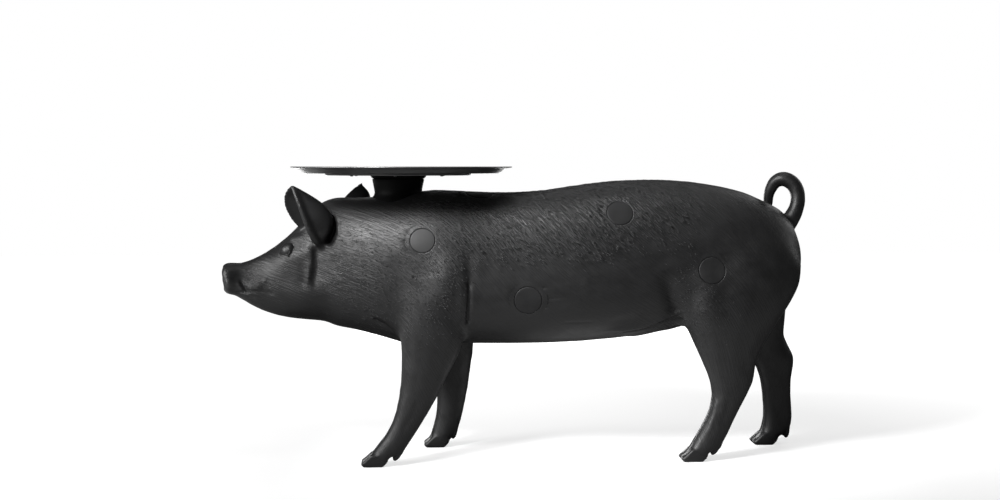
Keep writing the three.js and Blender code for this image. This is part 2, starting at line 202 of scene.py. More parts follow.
def makeHairGroup():
    # long locks and finer hairs that follow the painted flow
    group, start, end = newGroup("mouldedHair", [
        ("Flow", "NodeSocketVector"), ("Amount", "NodeSocketFloat")], [("Height", "NodeSocketFloat")])
    nodes, links = group.nodes, group.links
    sizes = [[1 / size for size in hairValues[key]] for key in ("streaks", "fine")]
    broad = stretchedNoise(nodes, links, start.outputs["Flow"], sizes[0], hairValues["detail"])
    fine = stretchedNoise(nodes, links, start.outputs["Flow"], sizes[1], 0.0)
    locks = rangeNode(nodes, links, broad, hairValues["contrast"], (0, 1))
    locks.node.interpolation_type = "SMOOTHSTEP"
    streaks = mathNode(nodes, links, "MULTIPLY_ADD", fine, hairValues["fineShare"], locks)
    links.new(mathNode(nodes, links, "MULTIPLY", streaks, start.outputs["Amount"]), end.inputs["Height"])
    return group


def makeGrainGroup():
    # the resin's faint mottle and its fine pitted surface
    group, start, end = newGroup("resinGrain", [("Vector", "NodeSocketVector")], [
        ("Mottle", "NodeSocketFloat"), ("Grain", "NodeSocketFloat")])
    nodes, links = group.nodes, group.links
    for label in ("Mottle", "Grain"):
        noise = stretchedNoise(nodes, links, start.outputs["Vector"], *reliefValues[label])
        links.new(noise, end.inputs[label])
    return group


def groupNode(nodes, group):
    node = nodes.new("ShaderNodeGroup")
    node.node_tree = group
    return node


def addBump(nodes, links, shader, height, distance):
    # a relief over the one that the shader already has
    bump = nodes.new("ShaderNodeBump")
    bump.inputs["Distance"].default_value = distance * mm
    bump.inputs["Strength"].default_value = 1.0
    links.new(height, bump.inputs["Height"])
    for link in shader.inputs["Normal"].links:
        links.new(link.from_socket, bump.inputs["Normal"])
    links.new(bump.outputs["Normal"], shader.inputs["Normal"])


resinValues = {
    # darkest and lightest shade, smoothest and roughest, depth of the grain in mm, refraction
    "hide": ((0.006, 0.012), (0.42, 0.54), 0.12, 1.46),
    "smoothResin": ((0.006, 0.012), (0.5, 0.62), 0.12, 1.37),
    # painted shade: the smooth resin made darker and with a weaker sheen, for the flange and pedestal that
    # sit in shade under the tray
    "dullResin": ((0.002, 0.005), (0.5, 0.62), 0.15, 1.2),
    "horn": ((0.007, 0.013), (0.42, 0.54), 0.08, 1.46),
    "tray": ((0.02, 0.028), (0.36, 0.46), 0.03, 2.1),
    "eye": ((0.006, 0.011), (0.38, 0.46), 0.03, 1.46),
    "steel": ((0.03, 0.16), (0.28, 0.42), 0.05, 1.46),
    "mottleSpan": (0.3, 0.7), "cool": (1.02, 1.04),
}
reliefValues = {
    # how tightly each noise is packed along x, y and z and its detail, and where it is one material's own
    # relief its depth in mm
    "Mottle": ((28, 28, 28), 3.0), "Grain": ((900, 900, 900), 2.0),
    "horn": ((90, 60, 700), 1.0, 0.25), "tray": ((12, 12, 12), 0.0, 0.25),
    "eye": ((300, 300, 300), 1.0, 0.06), "steel": ((500, 500, 2500), 1.0, 0.06),
}


def resinMaterial(name):
    # shared by all the surfaces: mottled black, with roughness that follows the mottle
    shades, rough, grainDepth, refraction = resinValues[name]
    material, nodes, links, shader = newMaterial(name)
    shader.inputs["IOR"].default_value = refraction
    shader.inputs["Metallic"].default_value = 1.0 if name == "steel" else 0.0
    place = nodes.new("ShaderNodeTexCoord").outputs["Object"]
    grain = groupNode(nodes, grainGroup)
    links.new(place, grain.inputs["Vector"])
    tone = nodes.new("ShaderNodeMix")
    tone.data_type = "RGBA"
    for socket, shade, cool in zip(tone.inputs[6:8], shades, resinValues["cool"]):
        socket.default_value = (shade, shade, shade * cool, 1)
    links.new(grain.outputs["Mottle"], tone.inputs[0])
    links.new(tone.outputs[2], shader.inputs["Base Color"])
    rough = rangeNode(nodes, links, grain.outputs["Mottle"], resinValues["mottleSpan"], rough)
    links.new(rough, shader.inputs["Roughness"])
    addBump(nodes, links, shader, grain.outputs["Grain"], grainDepth)
    if name in reliefValues:
        stretch, detail, depth = reliefValues[name]
        addBump(nodes, links, shader, stretchedNoise(nodes, links, place, stretch, detail), depth)
    return material, nodes, links, shader, place


def makeHideMaterial():
    material, nodes, links, shader, _ = resinMaterial("hide")
    hair = groupNode(nodes, hairGroup)
    for field, output, socket in (("flow", "Vector", "Flow"), ("hair", "Fac", "Amount")):
        painted = nodes.new("ShaderNodeAttribute")
        painted.attribute_name = field
        links.new(painted.outputs[output], hair.inputs[socket])
    addBump(nodes, links, shader, hair.outputs["Height"], skinValues["hairDepth"])
    return material


# outlines of the turned pieces: radius and height in millimetres

turnedValues = {
    "tray": {"x": -309.5, "bevel": 0.7, "slot": "tray", "profile": (
        (0, 757), (254, 757), (258.5, 758.2), (263, 761), (274, 769.5), (278, 770.7), (292, 771.9),
        (292, 773.9), (290.6, 775), (276, 772.9), (260, 763), (256.5, 761.2), (252, 760.5), (120, 760.5),
        (0, 760.5))},
    "tray_plate": {"x": -319.5, "bevel": 0.7, "slot": "tray", "profile": (
        (0, 751.7), (191, 751.7), (193, 753.4), (193, 756.7), (0, 756.7))},
    "flange": {"x": -319, "bevel": 1.2, "slot": "smooth_resin", "profile": (
        (0, 742.4), (65, 742.4), (69, 744), (73.5, 748.4), (73.5, 751.4), (0, 751.4))},
    "pedestal": {"x": -319.5, "bevel": 0.8, "slot": "smooth_resin", "profile": (
        (0, 644), (92, 644), (88, 664), (79, 681), (70, 692), (64.5, 699), (62.3, 706), (63.8, 716),
        (65.8, 726), (68.4, 738.5), (68.6, 742.1), (0, 742.1))},
    "steps": 160, "sharp": 35, "bevelAngle": 28,
    "trayFloor": 760.5, "floorEdge": (0.250, 0.256), "floorUnder": (0.7590, 0.7600), "floorRough": 0.22,
    "floorShine": 0.08,
}


def makeTrayMaterial():
    # lacquer; the floor inside the rim is duller than the wall and the rim
    material, nodes, links, shader, place = resinMaterial("tray")
    reach = nodes.new("ShaderNodeVectorMath")
    reach.operation = "DISTANCE"
    reach.inputs[1].default_value = Vector((turnedValues["tray"]["x"], 0, turnedValues["trayFloor"])) * mm
    links.new(place, reach.inputs[0])
    split = nodes.new("ShaderNodeSeparateXYZ")
    links.new(place, split.inputs[0])
    inside = rangeNode(nodes, links, reach.outputs["Value"], turnedValues["floorEdge"], (1, 0))
    above = rangeNode(nodes, links, split.outputs["Z"], turnedValues["floorUnder"], (0, 1))
    dull = mathNode(nodes, links, "MULTIPLY", inside, above)
    glossy = shader.inputs["Roughness"].links[0].from_socket
    rough = mathNode(nodes, links, "MULTIPLY_ADD", dull, turnedValues["floorRough"], glossy)
    links.new(rough, shader.inputs["Roughness"])
    shine = rangeNode(nodes, links, dull, (0, 1), (0.5, turnedValues["floorShine"]))
    links.new(shine, shader.inputs["Specular IOR Level"])
    return material


# camera, floor and light

viewValues = {
    "place": (-0.2449, -3.4945, 0.775), "yaw": 3.2, "pitch": 3.637, "lens": 47.304,
    "sensor": 36, "farthest": 60, "worldShade": 0.06,
    "floorSize": 16.0, "floorShade": 0.5, "floorRough": 0.8, "floorShine": 0.1,
    # the floor's own share of light, and how far from the middle it turns white, in metres
    "floorBounce": 0.1, "floorGlow": (0.64, 1.0), "glowFrom": (1.1, 2.6),
}
bouncePatches = [
    # light that a patch of floor throws up, and each of its edges: axis, where it starts and where it is full
    (0.44, [("Y", -1.2, -0.75), ("Y", 0.02, -0.3)]),
    (0.5, [("X", -0.75, -1.05)]),
    (0.9, [("Y", -0.35, -0.15), ("Y", 0.3, 0.05), ("X", 0.0, 0.12), ("X", 0.5, 0.38)]),
]


def makeCamera():
    camera = newObject("camera", bpy.data.cameras.new("camera"))
    camera.location = viewValues["place"]
    camera.rotation_euler = (math.radians(90 - viewValues["pitch"]), 0, math.radians(-viewValues["yaw"]))
    camera.data.lens = viewValues["lens"]
    camera.data.sensor_width = viewValues["sensor"]
    camera.data.clip_end = viewValues["farthest"]
    scene.camera = camera


def makeFloor():
    # pale paper, evenly lit to the camera, that throws little light back up at the dark resin
    shape = bmesh.new()
    bmesh.ops.create_grid(shape, x_segments=1, y_segments=1, size=viewValues["floorSize"] / 2)
    floor = fromBmesh("floor", shape)
    material, nodes, links, shader = newMaterial("floorPaper")
    shader.inputs["Roughness"].default_value = viewValues["floorRough"]
    shader.inputs["Specular IOR Level"].default_value = viewValues["floorShine"]
    path = nodes.new("ShaderNodeLightPath")
    seen = path.outputs["Is Camera Ray"]
    shade = rangeNode(nodes, links, seen, (0, 1), (viewValues["floorBounce"], viewValues["floorShade"]))
    links.new(shade, shader.inputs["Base Color"])
    place = nodes.new("ShaderNodeTexCoord")
    reach = nodes.new("ShaderNodeVectorMath")
    reach.operation = "LENGTH"
    links.new(place.outputs["Object"], reach.inputs[0])
    glow = rangeNode(nodes, links, reach.outputs["Value"], viewValues["glowFrom"], viewValues["floorGlow"])
    split = nodes.new("ShaderNodeSeparateXYZ")
    links.new(place.outputs["Object"], split.inputs[0])
    bounce = 0
    for strength, edges in bouncePatches:
        patch = strength
        for axis, start, full in edges:
            edge = rangeNode(nodes, links, split.outputs[axis], (start, full), (0, 1))
            patch = mathNode(nodes, links, "MULTIPLY", edge, patch)
        bounce = mathNode(nodes, links, "MAXIMUM", patch, bounce)
    mixed = nodes.new("ShaderNodeMix")
    links.new(seen, mixed.inputs[0])
    links.new(bounce, mixed.inputs[2])
    links.new(glow, mixed.inputs[3])
    links.new(mixed.outputs[0], shader.inputs["Emission Color"])
    shader.inputs["Emission Strength"].default_value = 1.0
    floor.data.materials.append(material)


lightValues = [
    # name, place, aim, size across, size down, watts, and the width in degrees and soft share of its cone
    ("keyLeft", (-2.4, -0.8, 1.3), (-0.1, 0, 0.45), 0.9, 0.8, 42, None),
    ("keyHigh", (-1.3, -1.5, 1.8), (0.12, -0.1, 0.45), 0.6, 0.6, 480, (29.2, 0.12)),
    ("topSoft", (0.1, -0.4, 2.8), (0, 0, 0.6), 2.4, 0.5, 12, None),
    ("backSoft", (0.2, 1.6, 2.6), (0, 0, 0.5), 3.2, 0.6, 5, None),
    ("rumpSoft", (2.4, 1.8, 1.8), (0, 0, 0.4), 1.4, 1.4, 13, None),
    ("farSoft", (-0.3, 2.8, 0.45), (0, 0, 0.42), 2.4, 0.6, 36, None),
    ("tailSoft", (2.6, 0.4, 1.4), (0, 0, 0.4), 1.2, 1.2, 2, None),
    ("snoutSoft", (-1.9, -1.6, 0.3), (-0.772, -0.05, 0.462), 0.1, 0.1, 260, (3.6, 0.9)),
]


def makeLights():
    for name, place, aim, across, down, watts, cone in lightValues:
        lamp = bpy.data.lights.new(name, "SPOT" if cone else "AREA")
        if cone:
            lamp.spot_size = math.radians(cone[0])
            lamp.spot_blend = cone[1]
            lamp.shadow_soft_size = across / 2
        else:
            lamp.shape = "RECTANGLE"
            lamp.size = across
            lamp.size_y = down
        lamp.energy = watts
        holder = newObject(name, lamp)
        holder.visible_camera = False
        holder.location = place
        holder.rotation_euler = (Vector(aim) - Vector(place)).to_track_quat("-Z", "Y").to_euler()
    world = bpy.data.worlds.new("studio")
    world.use_nodes = True
    nodes, links = world.node_tree.nodes, world.node_tree.links
    background = nodes["Background"]
    background.inputs["Color"].default_value = (1, 1, 1, 1)
    path = nodes.new("ShaderNodeLightPath")
    strength = rangeNode(nodes, links, path.outputs["Is Camera Ray"], (0, 1), (viewValues["worldShade"], 1))
    links.new(strength, background.inputs["Strength"])
    scene.world = world
    scene.view_settings.view_transform = "Standard"


# the skin's first form

finerPlaces = [
    # radius round each eye, and places on the snout and mouth with the radius round each, in mm
    (40, [(-775, 16, 488)], 26), (25, [(-725, 59, 450), (-690, 68, 450), (-655, 78, 450)], 22),
]
skinValues = {
    "overlap": 0.4,               # closes the thin cuts between the CAD pieces, in mm
    "coarseVoxel": 7.0, "fineVoxel": 3.0, "hoofOverlap": 0.1,
    # the trunk is the part above the legs and between the neck and the tail, in metres
    "trunkLow": (0.30, 0.42), "trunkFront": (-0.60, -0.48), "trunkEnd": (0.70, 0.78),
    "trunkPasses": 60, "limbPasses": 6, "finePasses": 4, "lastPasses": 2,
    "tailRoot": (712, 0, 604), "tailPasses": 30, "tailReach": (25, 70),
    "triangles": 190000, "hairDepth": 0.95,
}


bodyStarts = ("neck", "chest", "belly", "rump", "head", "jaw", "snout", "leg_")


def nodesNamed(*starts):
    return sorted(name for name in cadNodes if name.startswith(starts))


def mergedCopy(name, nodeNames, overlap):
    whole = bmesh.new()
    for nodeName in nodeNames:
        piece = bmesh.new()
        piece.from_mesh(cadNodes[nodeName].data)
        bmesh.ops.remove_doubles(piece, verts=piece.verts, dist=0.01 * mm)
        piece.normal_update()
        for vert in piece.verts:
            vert.co += vert.normal * overlap * mm
        mesh = bpy.data.meshes.new("copy")
        piece.to_mesh(mesh)
        piece.free()
        whole.from_mesh(mesh)
        bpy.data.meshes.remove(mesh)
    return fromBmesh(name, whole)


def neighbourMean(mesh):
    # gives a function that averages a field over each vertex's neighbours
    edges = np.empty(len(mesh.edges) * 2, np.int32)
    mesh.edges.foreach_get("vertices", edges)
    a, b = edges.reshape(-1, 2).T
    start = np.concatenate([a, b])
    end = np.concatenate([b, a])
    count = len(mesh.vertices)
    links = np.maximum(np.bincount(start, minlength=count), 1)[:, None]

    def mean(field):
        columns = [np.bincount(start, weights=field[end, k], minlength=count)
                   for k in range(field.shape[1])]
        return np.stack(columns, 1) / links

    return mean


def relax(mesh, passes, weight=None):
    # smooths ripples away and then gives back the broad form that smoothing took
    mean = neighbourMean(mesh)
    points = readVectors(mesh)
    if weight is None:
        weight = np.ones(len(points))
    half = 0.5 * weight[:, None]

    def smoothed(field):
        for _ in range(passes):
            field = field + half * (mean(field) - field)
        return field

    once = smoothed(points)
    writePoints(mesh, once + smoothed(points - once))


def coreForm():
    names = nodesNamed(*bodyStarts, "disc_", "hoof_") + nodesNamed("eye_")
    core = mergedCopy("core", names, skinValues["overlap"])
    modify(core, "REMESH", mode="VOXEL", voxel_size=skinValues["coarseVoxel"] * mm)
    settle(core)
    points = readVectors(core.data)
    x, z = points[:, 0], points[:, 2]
    trunk = ease(z, *skinValues["trunkLow"]) * ease(x, *skinValues["trunkFront"])
    trunk *= 1 - ease(x, *skinValues["trunkEnd"])
    relax(core.data, skinValues["trunkPasses"], trunk)
    relax(core.data, skinValues["limbPasses"], 1 - trunk * 0.5)
    modify(core, "SUBSURF", levels=1, render_levels=1)
    settle(core)
    return core


# ears: a leaf curved from its outer edge round its back to its inner edge, with a thick rolled outer edge

earValues = {
    # rows from base to tip, in millimetres
    "left": {
        "roll": [(-519, -100, 568), (-538, -129, 606), (-552, -137, 640), (-569, -136, 684),
                 (-588.5, -120, 727)],
        "outer": [(-514, -96, 570), (-533, -125, 606), (-547, -133, 640), (-566, -132, 684),
                  (-588, -119, 727)],
        "inner": [(-552, -42, 586), (-580, -60, 622), (-602, -74, 660), (-608, -88, 696),
                  (-588.5, -118, 728)],
        "back": [(-505, -74, 580), (-490, -88, 618), (-495, -92, 652), (-520, -100, 684),
                 (-588.5, -118, 728)]},
    "right": {
        "roll": [(-470, 98, 580), (-454, 130, 620), (-449, 141, 655), (-442, 139, 694), (-426, 126, 727)],
        "outer": [(-464, 88, 580), (-448, 118, 620), (-443, 129, 655), (-438, 129, 694), (-425, 123, 727)],
        "inner": [(-492, 60, 606), (-490, 72, 640), (-480, 84, 668), (-456, 100, 700), (-424, 124, 728)],
        "back": [(-436, 72, 586), (-416, 84, 625), (-406, 96, 662), (-402, 108, 698), (-424, 124, 728)]},
    "wall": 4.6, "across": 26, "along": 26, "tipShare": 1.4, "roll": (11.0, 5.4), "inner": (3.2, 2.8),
    "steps": (0.02, 0.15, 0.3, 0.45, 0.6, 0.75, 0.88, 0.97),
    # smoothing along the first rows of an edge: how many rows, passes and width in mm
    "smoothing": (("roll", 5, 40, 15), ("inner", 2, 30, 12)),
}


def alongRow(row, t):
    # a smooth curve through the places of a row
    places = [Vector(place) * mm for place in row]
    places = [places[0] * 2 - places[1], *places, places[-1] * 2 - places[-2]]
    at = min(max(t, 0), 1) * (len(row) - 1)
    i = min(int(at), len(row) - 2)
    a, b, c, d = places[i:i + 4]
    u = at - i
    return b + ((c - a) * u + (a * 2 - b * 5 + c * 4 - d) * u ** 2 + (b * 3 - a - c * 3 + d) * u ** 3) / 2


def earPoint(side, a, t):
    outer, inner, back = (alongRow(earValues[side][key], t) for key in ("outer", "inner", "back"))
    centre = (outer + inner) / 2
    turn = a * math.pi / 2
    return centre + (inner - outer) / 2 * math.sin(turn) + (back - centre) * math.cos(turn)


def tubeAlong(name, rows):
    # a round tube through rows of (place, radius), closed by round ends
    curve = bpy.data.curves.new(name, "CURVE")
    curve.dimensions = "3D"
    curve.bevel_depth = mm
    curve.bevel_resolution = 5
    curve.resolution_u = 8
    spline = curve.splines.new("BEZIER")
    spline.bezier_points.add(len(rows) - 1)
    for point, (place, radius) in zip(spline.bezier_points, rows):
        point.co = place
        point.radius = radius
        point.handle_left_type = point.handle_right_type = "AUTO"
    holder = newObject(name, curve)
    graph = bpy.context.evaluated_depsgraph_get()
    mesh = bpy.data.meshes.new_from_object(holder.evaluated_get(graph))
    bpy.data.objects.remove(holder)
    shape = bmesh.new()
    shape.from_mesh(mesh)
    bmesh.ops.holes_fill(shape, edges=[e for e in shape.edges if e.is_boundary])
    for place, radius in (rows[0], rows[-1]):
        bmesh.ops.create_uvsphere(shape, u_segments=20, v_segments=12, radius=radius * mm,
                                  matrix=Matrix.Translation(place))
    return fromBmesh(name, shape)


def makeEar(side):
    across, along = earValues["across"], earValues["along"]
    shape = bmesh.new()
    bmesh.ops.create_grid(shape, x_segments=across, y_segments=along, size=1)
    for vert in shape.verts:
        t = (vert.co.y + 1) / 2
        vert.co = earPoint(side, vert.co.x, 1 - (1 - t) ** earValues["tipShare"])
    bmesh.ops.remove_doubles(shape, verts=shape.verts, dist=0.05 * mm)
    bmesh.ops.recalc_face_normals(shape, faces=shape.faces)
    ear = fromBmesh("ear" + side, shape)
    modify(ear, "SOLIDIFY", thickness=earValues["wall"] * mm, offset=0, use_even_offset=True)
    modify(ear, "SUBSURF", levels=1, render_levels=1)
    settle(ear)
    edges = []
    for name in ("roll", "inner"):
        thick, thin = earValues[name]
        rows = [(alongRow(earValues[side][name], t), thick + (thin - thick) * t) for t in earValues["steps"]]
        edges.append(tubeAlong(name + side, rows))
    return [ear, *edges]


# x, y, z and radius along the tail's middle line, in millimetres
tailRows = [
    (688, 0, 572, 30), (714, 0, 604, 27), (737, 0, 635, 23), (751, 0, 664, 20),
    (755.5, 3, 692, 19.5), (749.5, 7, 719, 20), (735.5, 12, 735, 20.5), (718, 18, 741, 20),
    (702, 25, 735, 18), (691.5, 32, 719, 16), (685.5, 38, 699, 14), (684.5, 43, 676, 13),
]


def makeTail():
    return tubeAlong("tail", [(Vector(row[:3]) * mm, row[3]) for row in tailRows])


# feet: for each, the toe's tip, the dewclaws' place behind it and their height, in millimetres
footValues = {
    "frontLeft": {"toe": (-416.5, -110), "spur": (90, 15), "lean": 0.55},
    "frontRight": {"toe": (-254.5, 122), "spur": (85, 22), "lean": 0.12},
    "hindLeft": {"toe": (421.5, -95), "spur": (86, 17), "lean": 0.62},
    "hindRight": {"toe": (661.5, 105), "spur": (100, 18), "lean": 0.02},
    "spread": 14.5, "spurRadius": 10.0, "spurLength": 22, "spurBehind": 5, "spurAside": 0.12,
    "flesh": (1.14, 9),   # how much wider and higher than its dewclaw the flesh is
    # a rounded toe under the front of each claw: behind the tip, to each side, height, and its radii
    "toePlace": (16.5, 13.5, 9.6), "toeSize": (15.5, 12.5, 8.8),
}
feet = ("frontLeft", "frontRight", "hindLeft", "hindRight")
sides = (("left", -1), ("right", 1))


def spurMatrix(foot, side, grow, lift):
    toeX, toeY = footValues[foot]["toe"]
    behind, height = footValues[foot]["spur"]
    axis = Vector((footValues[foot]["lean"], -side * footValues["spurAside"], 1)).normalized()
    tip = Vector((toeX + behind - footValues["spurBehind"], toeY + side * footValues["spread"], height)) * mm
    radius, length = footValues["spurRadius"] * grow * mm, footValues["spurLength"] * mm
    return turnedTo(axis, tip + axis * (length + lift * mm)) @ Matrix.Diagonal((radius, radius, length, 1))


def footForms():
    # the flesh that each dewclaw hangs from, and the rounded toes
    shape = bmesh.new()
    for foot in feet:
        toeX, toeY = footValues[foot]["toe"]
        back, aside, up = footValues["toePlace"]
        for _, side in sides:
            bmesh.ops.create_uvsphere(shape, u_segments=20, v_segments=14, radius=1,
                                      matrix=spurMatrix(foot, side, *footValues["flesh"]))
            place = Vector((toeX + back, toeY + side * aside, up)) * mm
            size = [length * mm for length in footValues["toeSize"]]
            bmesh.ops.create_uvsphere(shape, u_segments=24, v_segments=16, radius=1,
                                      matrix=Matrix.Translation(place) @ Matrix.Diagonal((*size, 1)))
    return fromBmesh("footForms", shape)


def joined(name, things):
    whole = bmesh.new()
    for thing in things:
        whole.from_mesh(thing.data)
        bpy.data.objects.remove(thing)
    return fromBmesh(name, whole)


def largestShell(thing):
    # drops the small shells that the remesh leaves inside the thin cuts
    shape = bmesh.new()
    shape.from_mesh(thing.data)
    shape.verts.ensure_lookup_table()
    seen = np.zeros(len(shape.verts), bool)
    shells = []
    for vert in shape.verts:
        if seen[vert.index]:
            continue
        shell, front = [], [vert]
        seen[vert.index] = True
        while front:
            current = front.pop()
            shell.append(current)
            for edge in current.link_edges:
                other = edge.other_vert(current)
                if not seen[other.index]:
                    seen[other.index] = True
                    front.append(other)
        shells.append(shell)
    shells.sort(key=len)
    for shell in shells[:-1]:
        bmesh.ops.delete(shape, geom=shell, context="VERTS")
    shape.to_mesh(thing.data)
    shape.free()
    return len(shells)


# sculpting: folds, ridges and swellings, each as a line or a place on the left side, in millimetres

def toHead(points, turn=-headYaw):
    # from the object's frame into the head's own, before the head is turned
    c, s = math.cos(turn), math.sin(turn)
    x, y = points[:, 0] - headPivot, points[:, 1]
    return np.stack([headPivot + c * x - s * y, c * y + s * x, points[:, 2]], 1)


def fromHead(points):
    return toHead(points, headYaw)


def folded(points, frameName, shift=0):
    # both sides laid over each other, so that one line serves both
    if frameName in ("left", "right"):
        return points
    if frameName == "head":
        points = toHead(points)
    points = points.copy()
    right = points[:, 1] > 0
    points[right, 0] -= shift * mm
    points[:, 1] = np.abs(points[:, 1])
    return points


def nearLine(points, line, width, taper):
    # 1 along the line, falling off to each side within width, and over its first and last share
    total = sum(np.linalg.norm(b - a) for a, b in zip(line[:-1], line[1:]))
    reach = 3 * width
    near = np.all((points > line.min(0) - reach) & (points < line.max(0) + reach), axis=1)
    picked = points[near]
    best = np.full(len(picked), 1e9)
    where = np.zeros(len(picked))
    done = 0
    for a, b in zip(line[:-1], line[1:]):
        step = b - a
        length = np.linalg.norm(step)
        t = np.clip(((picked - a) @ step) / length ** 2, 0, 1)
        distance = np.linalg.norm(picked - a - t[:, None] * step, axis=1)
        closer = distance < best
        best[closer] = distance[closer]
        where[closer] = (done + t[closer] * length) / total
        done += length
    weight = np.exp(-(best / width) ** 2)
    if taper[0]:
        weight *= ease(where, -0.02, taper[0])
    if taper[1]:
        weight *= 1 - ease(where, 1 - taper[1], 1.02)
    result = np.zeros(len(points))
    result[near] = weight
    return result


# frame, line, width, height (below 0 for a groove), share over which it fades at each end, right side's shift
broadForms = [
    ("head", [(-527, -90, 592), (-530, -98, 572), (-529, -106, 524), (-534, -109, 484), (-532, -106, 448)],
     5.5, -4.2, (0.0, 0.5), 0),
    ("head", [(-526, -98, 572), (-525, -106, 524), (-530, -109, 484), (-528, -106, 448)],
     12, -3.5, (0.1, 0.5), 0),
    ("head", [(-520, -104, 585), (-517, -112, 524), (-522, -114, 484), (-519, -111, 440)],
     25, -7.0, (0.2, 0.4), 0),
    ("head", [(-547, -102, 526), (-550, -107, 490), (-556, -104, 458)], 7, 2.2, (0.4, 0.4), 0),
    ("head", [(-561, -92, 556), (-561, -100, 490), (-566, -98, 452)], 19, -4.0, (0.5, 0.3), 0),
    ("head", [(-640, -62, 545), (-605, -84, 547), (-550, -98, 544)], 25, 6.0, (0.5, 0.5), 0),
    ("head", [(-632, -76, 520), (-626, -86, 480)], 34, 3.0, (0, 0), 0),
    ("head", [(-600, -94, 484), (-570, -98, 468)], 26, -4.0, (0, 0), 0),
    ("head", [(-592, -60, 586), (-572, -74, 588)], 14, 5.5, (0, 0), 0),
    ("head", [(-714, -58, 462), (-690, -66, 461), (-664, -74, 461)], 15, 4.5, (0.35, 0.45), 0),
    ("head", [(-722, -46, 508), (-682, -56, 512), (-640, -70, 516)], 24, -2.0, (0.5, 0.5), 0),
    ("head", [(-781, -46, 458), (-779, -58, 474)], 13, -5.0, (0, 0), 0),
    ("head", [(-757, -60, 468), (-756, -63, 480)], 9, 2.0, (0, 0), 0),
    ("left", [(-496, -92, 654), (-487, -100, 630), (-486, -106, 606), (-494, -108, 586), (-506, -104, 573)],
     9, -26, (0.15, 0.2), 0),
    ("right", [(-415, 94, 655), (-406, 104, 630), (-406, 110, 606), (-414, 112, 586)],
     9, -20, (0.15, 0.2), 0),
    ("body", [(-484, -84, 656), (-472, -102, 622), (-471, -114, 594)], 6, 3.0, (0.3, 0.3), 14),
    ("body", [(-141, -164, 572), (-137, -167, 530), (-136, -168, 480)], 17, -4.0, (0.5, 0.0), 26),
    ("body", [(-158, -166, 520), (-156, -170, 460), (-158, -166, 410), (-166, -150, 350)],
     13, 4.0, (0.3, 0.3), 26),
    ("body", [(-206, -165, 570), (-194, -172, 500), (-194, -172, 450), (-200, -165, 390)],
     44, 15.0, (0.5, 0.4), 26),
    ("body", [(-330, -150, 560), (-312, -155, 480), (-318, -140, 410)], 30, -3.0, (0.35, 0.35), 20),
    ("body", [(361, -170, 510), (375, -165, 471), (388, -154, 431), (404, -130, 392)],
     22, -9.5, (0.35, 0.1), 45),
    ("body", [(458, -172, 540), (468, -172, 470), (474, -166, 420), (486, -150, 350)],
     38, 12.0, (0.4, 0.3), 45),
    ("body", [(180, -112, 346), (308, -120, 360), (372, -130, 380), (415, -136, 398)],
     11, 8.0, (0.4, 0.3), 30),
    ("body", [(200, -142, 368), (320, -144, 388), (380, -150, 408)], 17, -3.0, (0.4, 0.4), 30),
    ("body", [(230, -96, 336), (315, -102, 348), (394, -112, 366), (424, -122, 382)],
     4.5, -5.0, (0.3, 0.05), 30),
    ("body", [(250, -72, 328), (315, -78, 335), (394, -90, 352), (433, -112, 368)],
     9, 6.5, (0.3, 0.05), 30),
    ("body", [(640, -150, 470), (655, -140, 430), (650, -125, 380)], 26, 3.0, (0.3, 0.3), 30),
]
fineForms = [
    ("head", [(-729, -62, 482), (-721, -61, 467), (-711, -60, 450)], 3.8, -3.6, (0.2, 0.0), 0),
    ("head", [(-738, -62, 482), (-731, -61, 466), (-721, -59, 450)], 4.0, 1.8, (0.3, 0.1), 0),
    ("head", [(-741, -57, 447), (-716, -60, 449.5), (-685, -70, 451), (-652, -79, 448)],
     3.6, -2.6, (0.1, 0.05), 0),
    ("head", [(-712, -57, 434), (-690, -62, 434)], 6.0, -1.2, (0.2, 0.2), 0),
    ("head", [(-653, -79, 449), (-648, -80, 446)], 5.0, -2.6, (0, 0), 0),
    ("head", [(-659, -71, 487), (-654, -74, 470), (-648, -76, 456)], 4.5, -1.5, (0.3, 0.3), 0),
    ("head", [(-668, -70, 484), (-663, -73, 468)], 5.0, 0.9, (0.3, 0.3), 0),
    ("head", [(-626, -56, 566), (-621, -68, 546), (-613, -77, 531)], 3.2, -2.2, (0.3, 0.3), 0),
    ("head", [(-632, -53, 560), (-627, -65, 544), (-621, -74, 530)], 3.4, 1.5, (0.3, 0.3), 0),
    ("body", [(-138, -168, 500), (-137, -166, 441), (-139, -158, 405), (-142, -140, 368)],
     5.0, -7.5, (0.35, 0.1), 26),
    ("body", [(-388, -120, 388), (-352, -114, 362), (-334, -104, 342), (-326, -90, 322)],
     7, -7.0, (0.3, 0.1), 40),
    ("body", [(-357, -126, 362), (-340, -122, 346), (-328, -112, 326)], 8, 2.0, (0.3, 0.3), 40),
    ("body", [(378, -160, 452), (390, -152, 424), (402, -138, 398)], 7, -4.5, (0.3, 0.1), 45),
    ("body", [(384, -158, 440), (396, -152, 432), (404, -150, 420)], 4, -2.0, (0.2, 0.2), 45),
    ("body", [(392, -150, 418), (402, -148, 412), (410, -144, 400)], 4, -2.0, (0.2, 0.2), 45),
    ("body", [(96, -149, 374), (194, -148, 377)], 3.5, -1.0, (0.3, 0.3), 0),
    ("body", [(-60, -146, 370), (20, -149, 372)], 3.5, -0.8, (0.3, 0.3), 0),
]
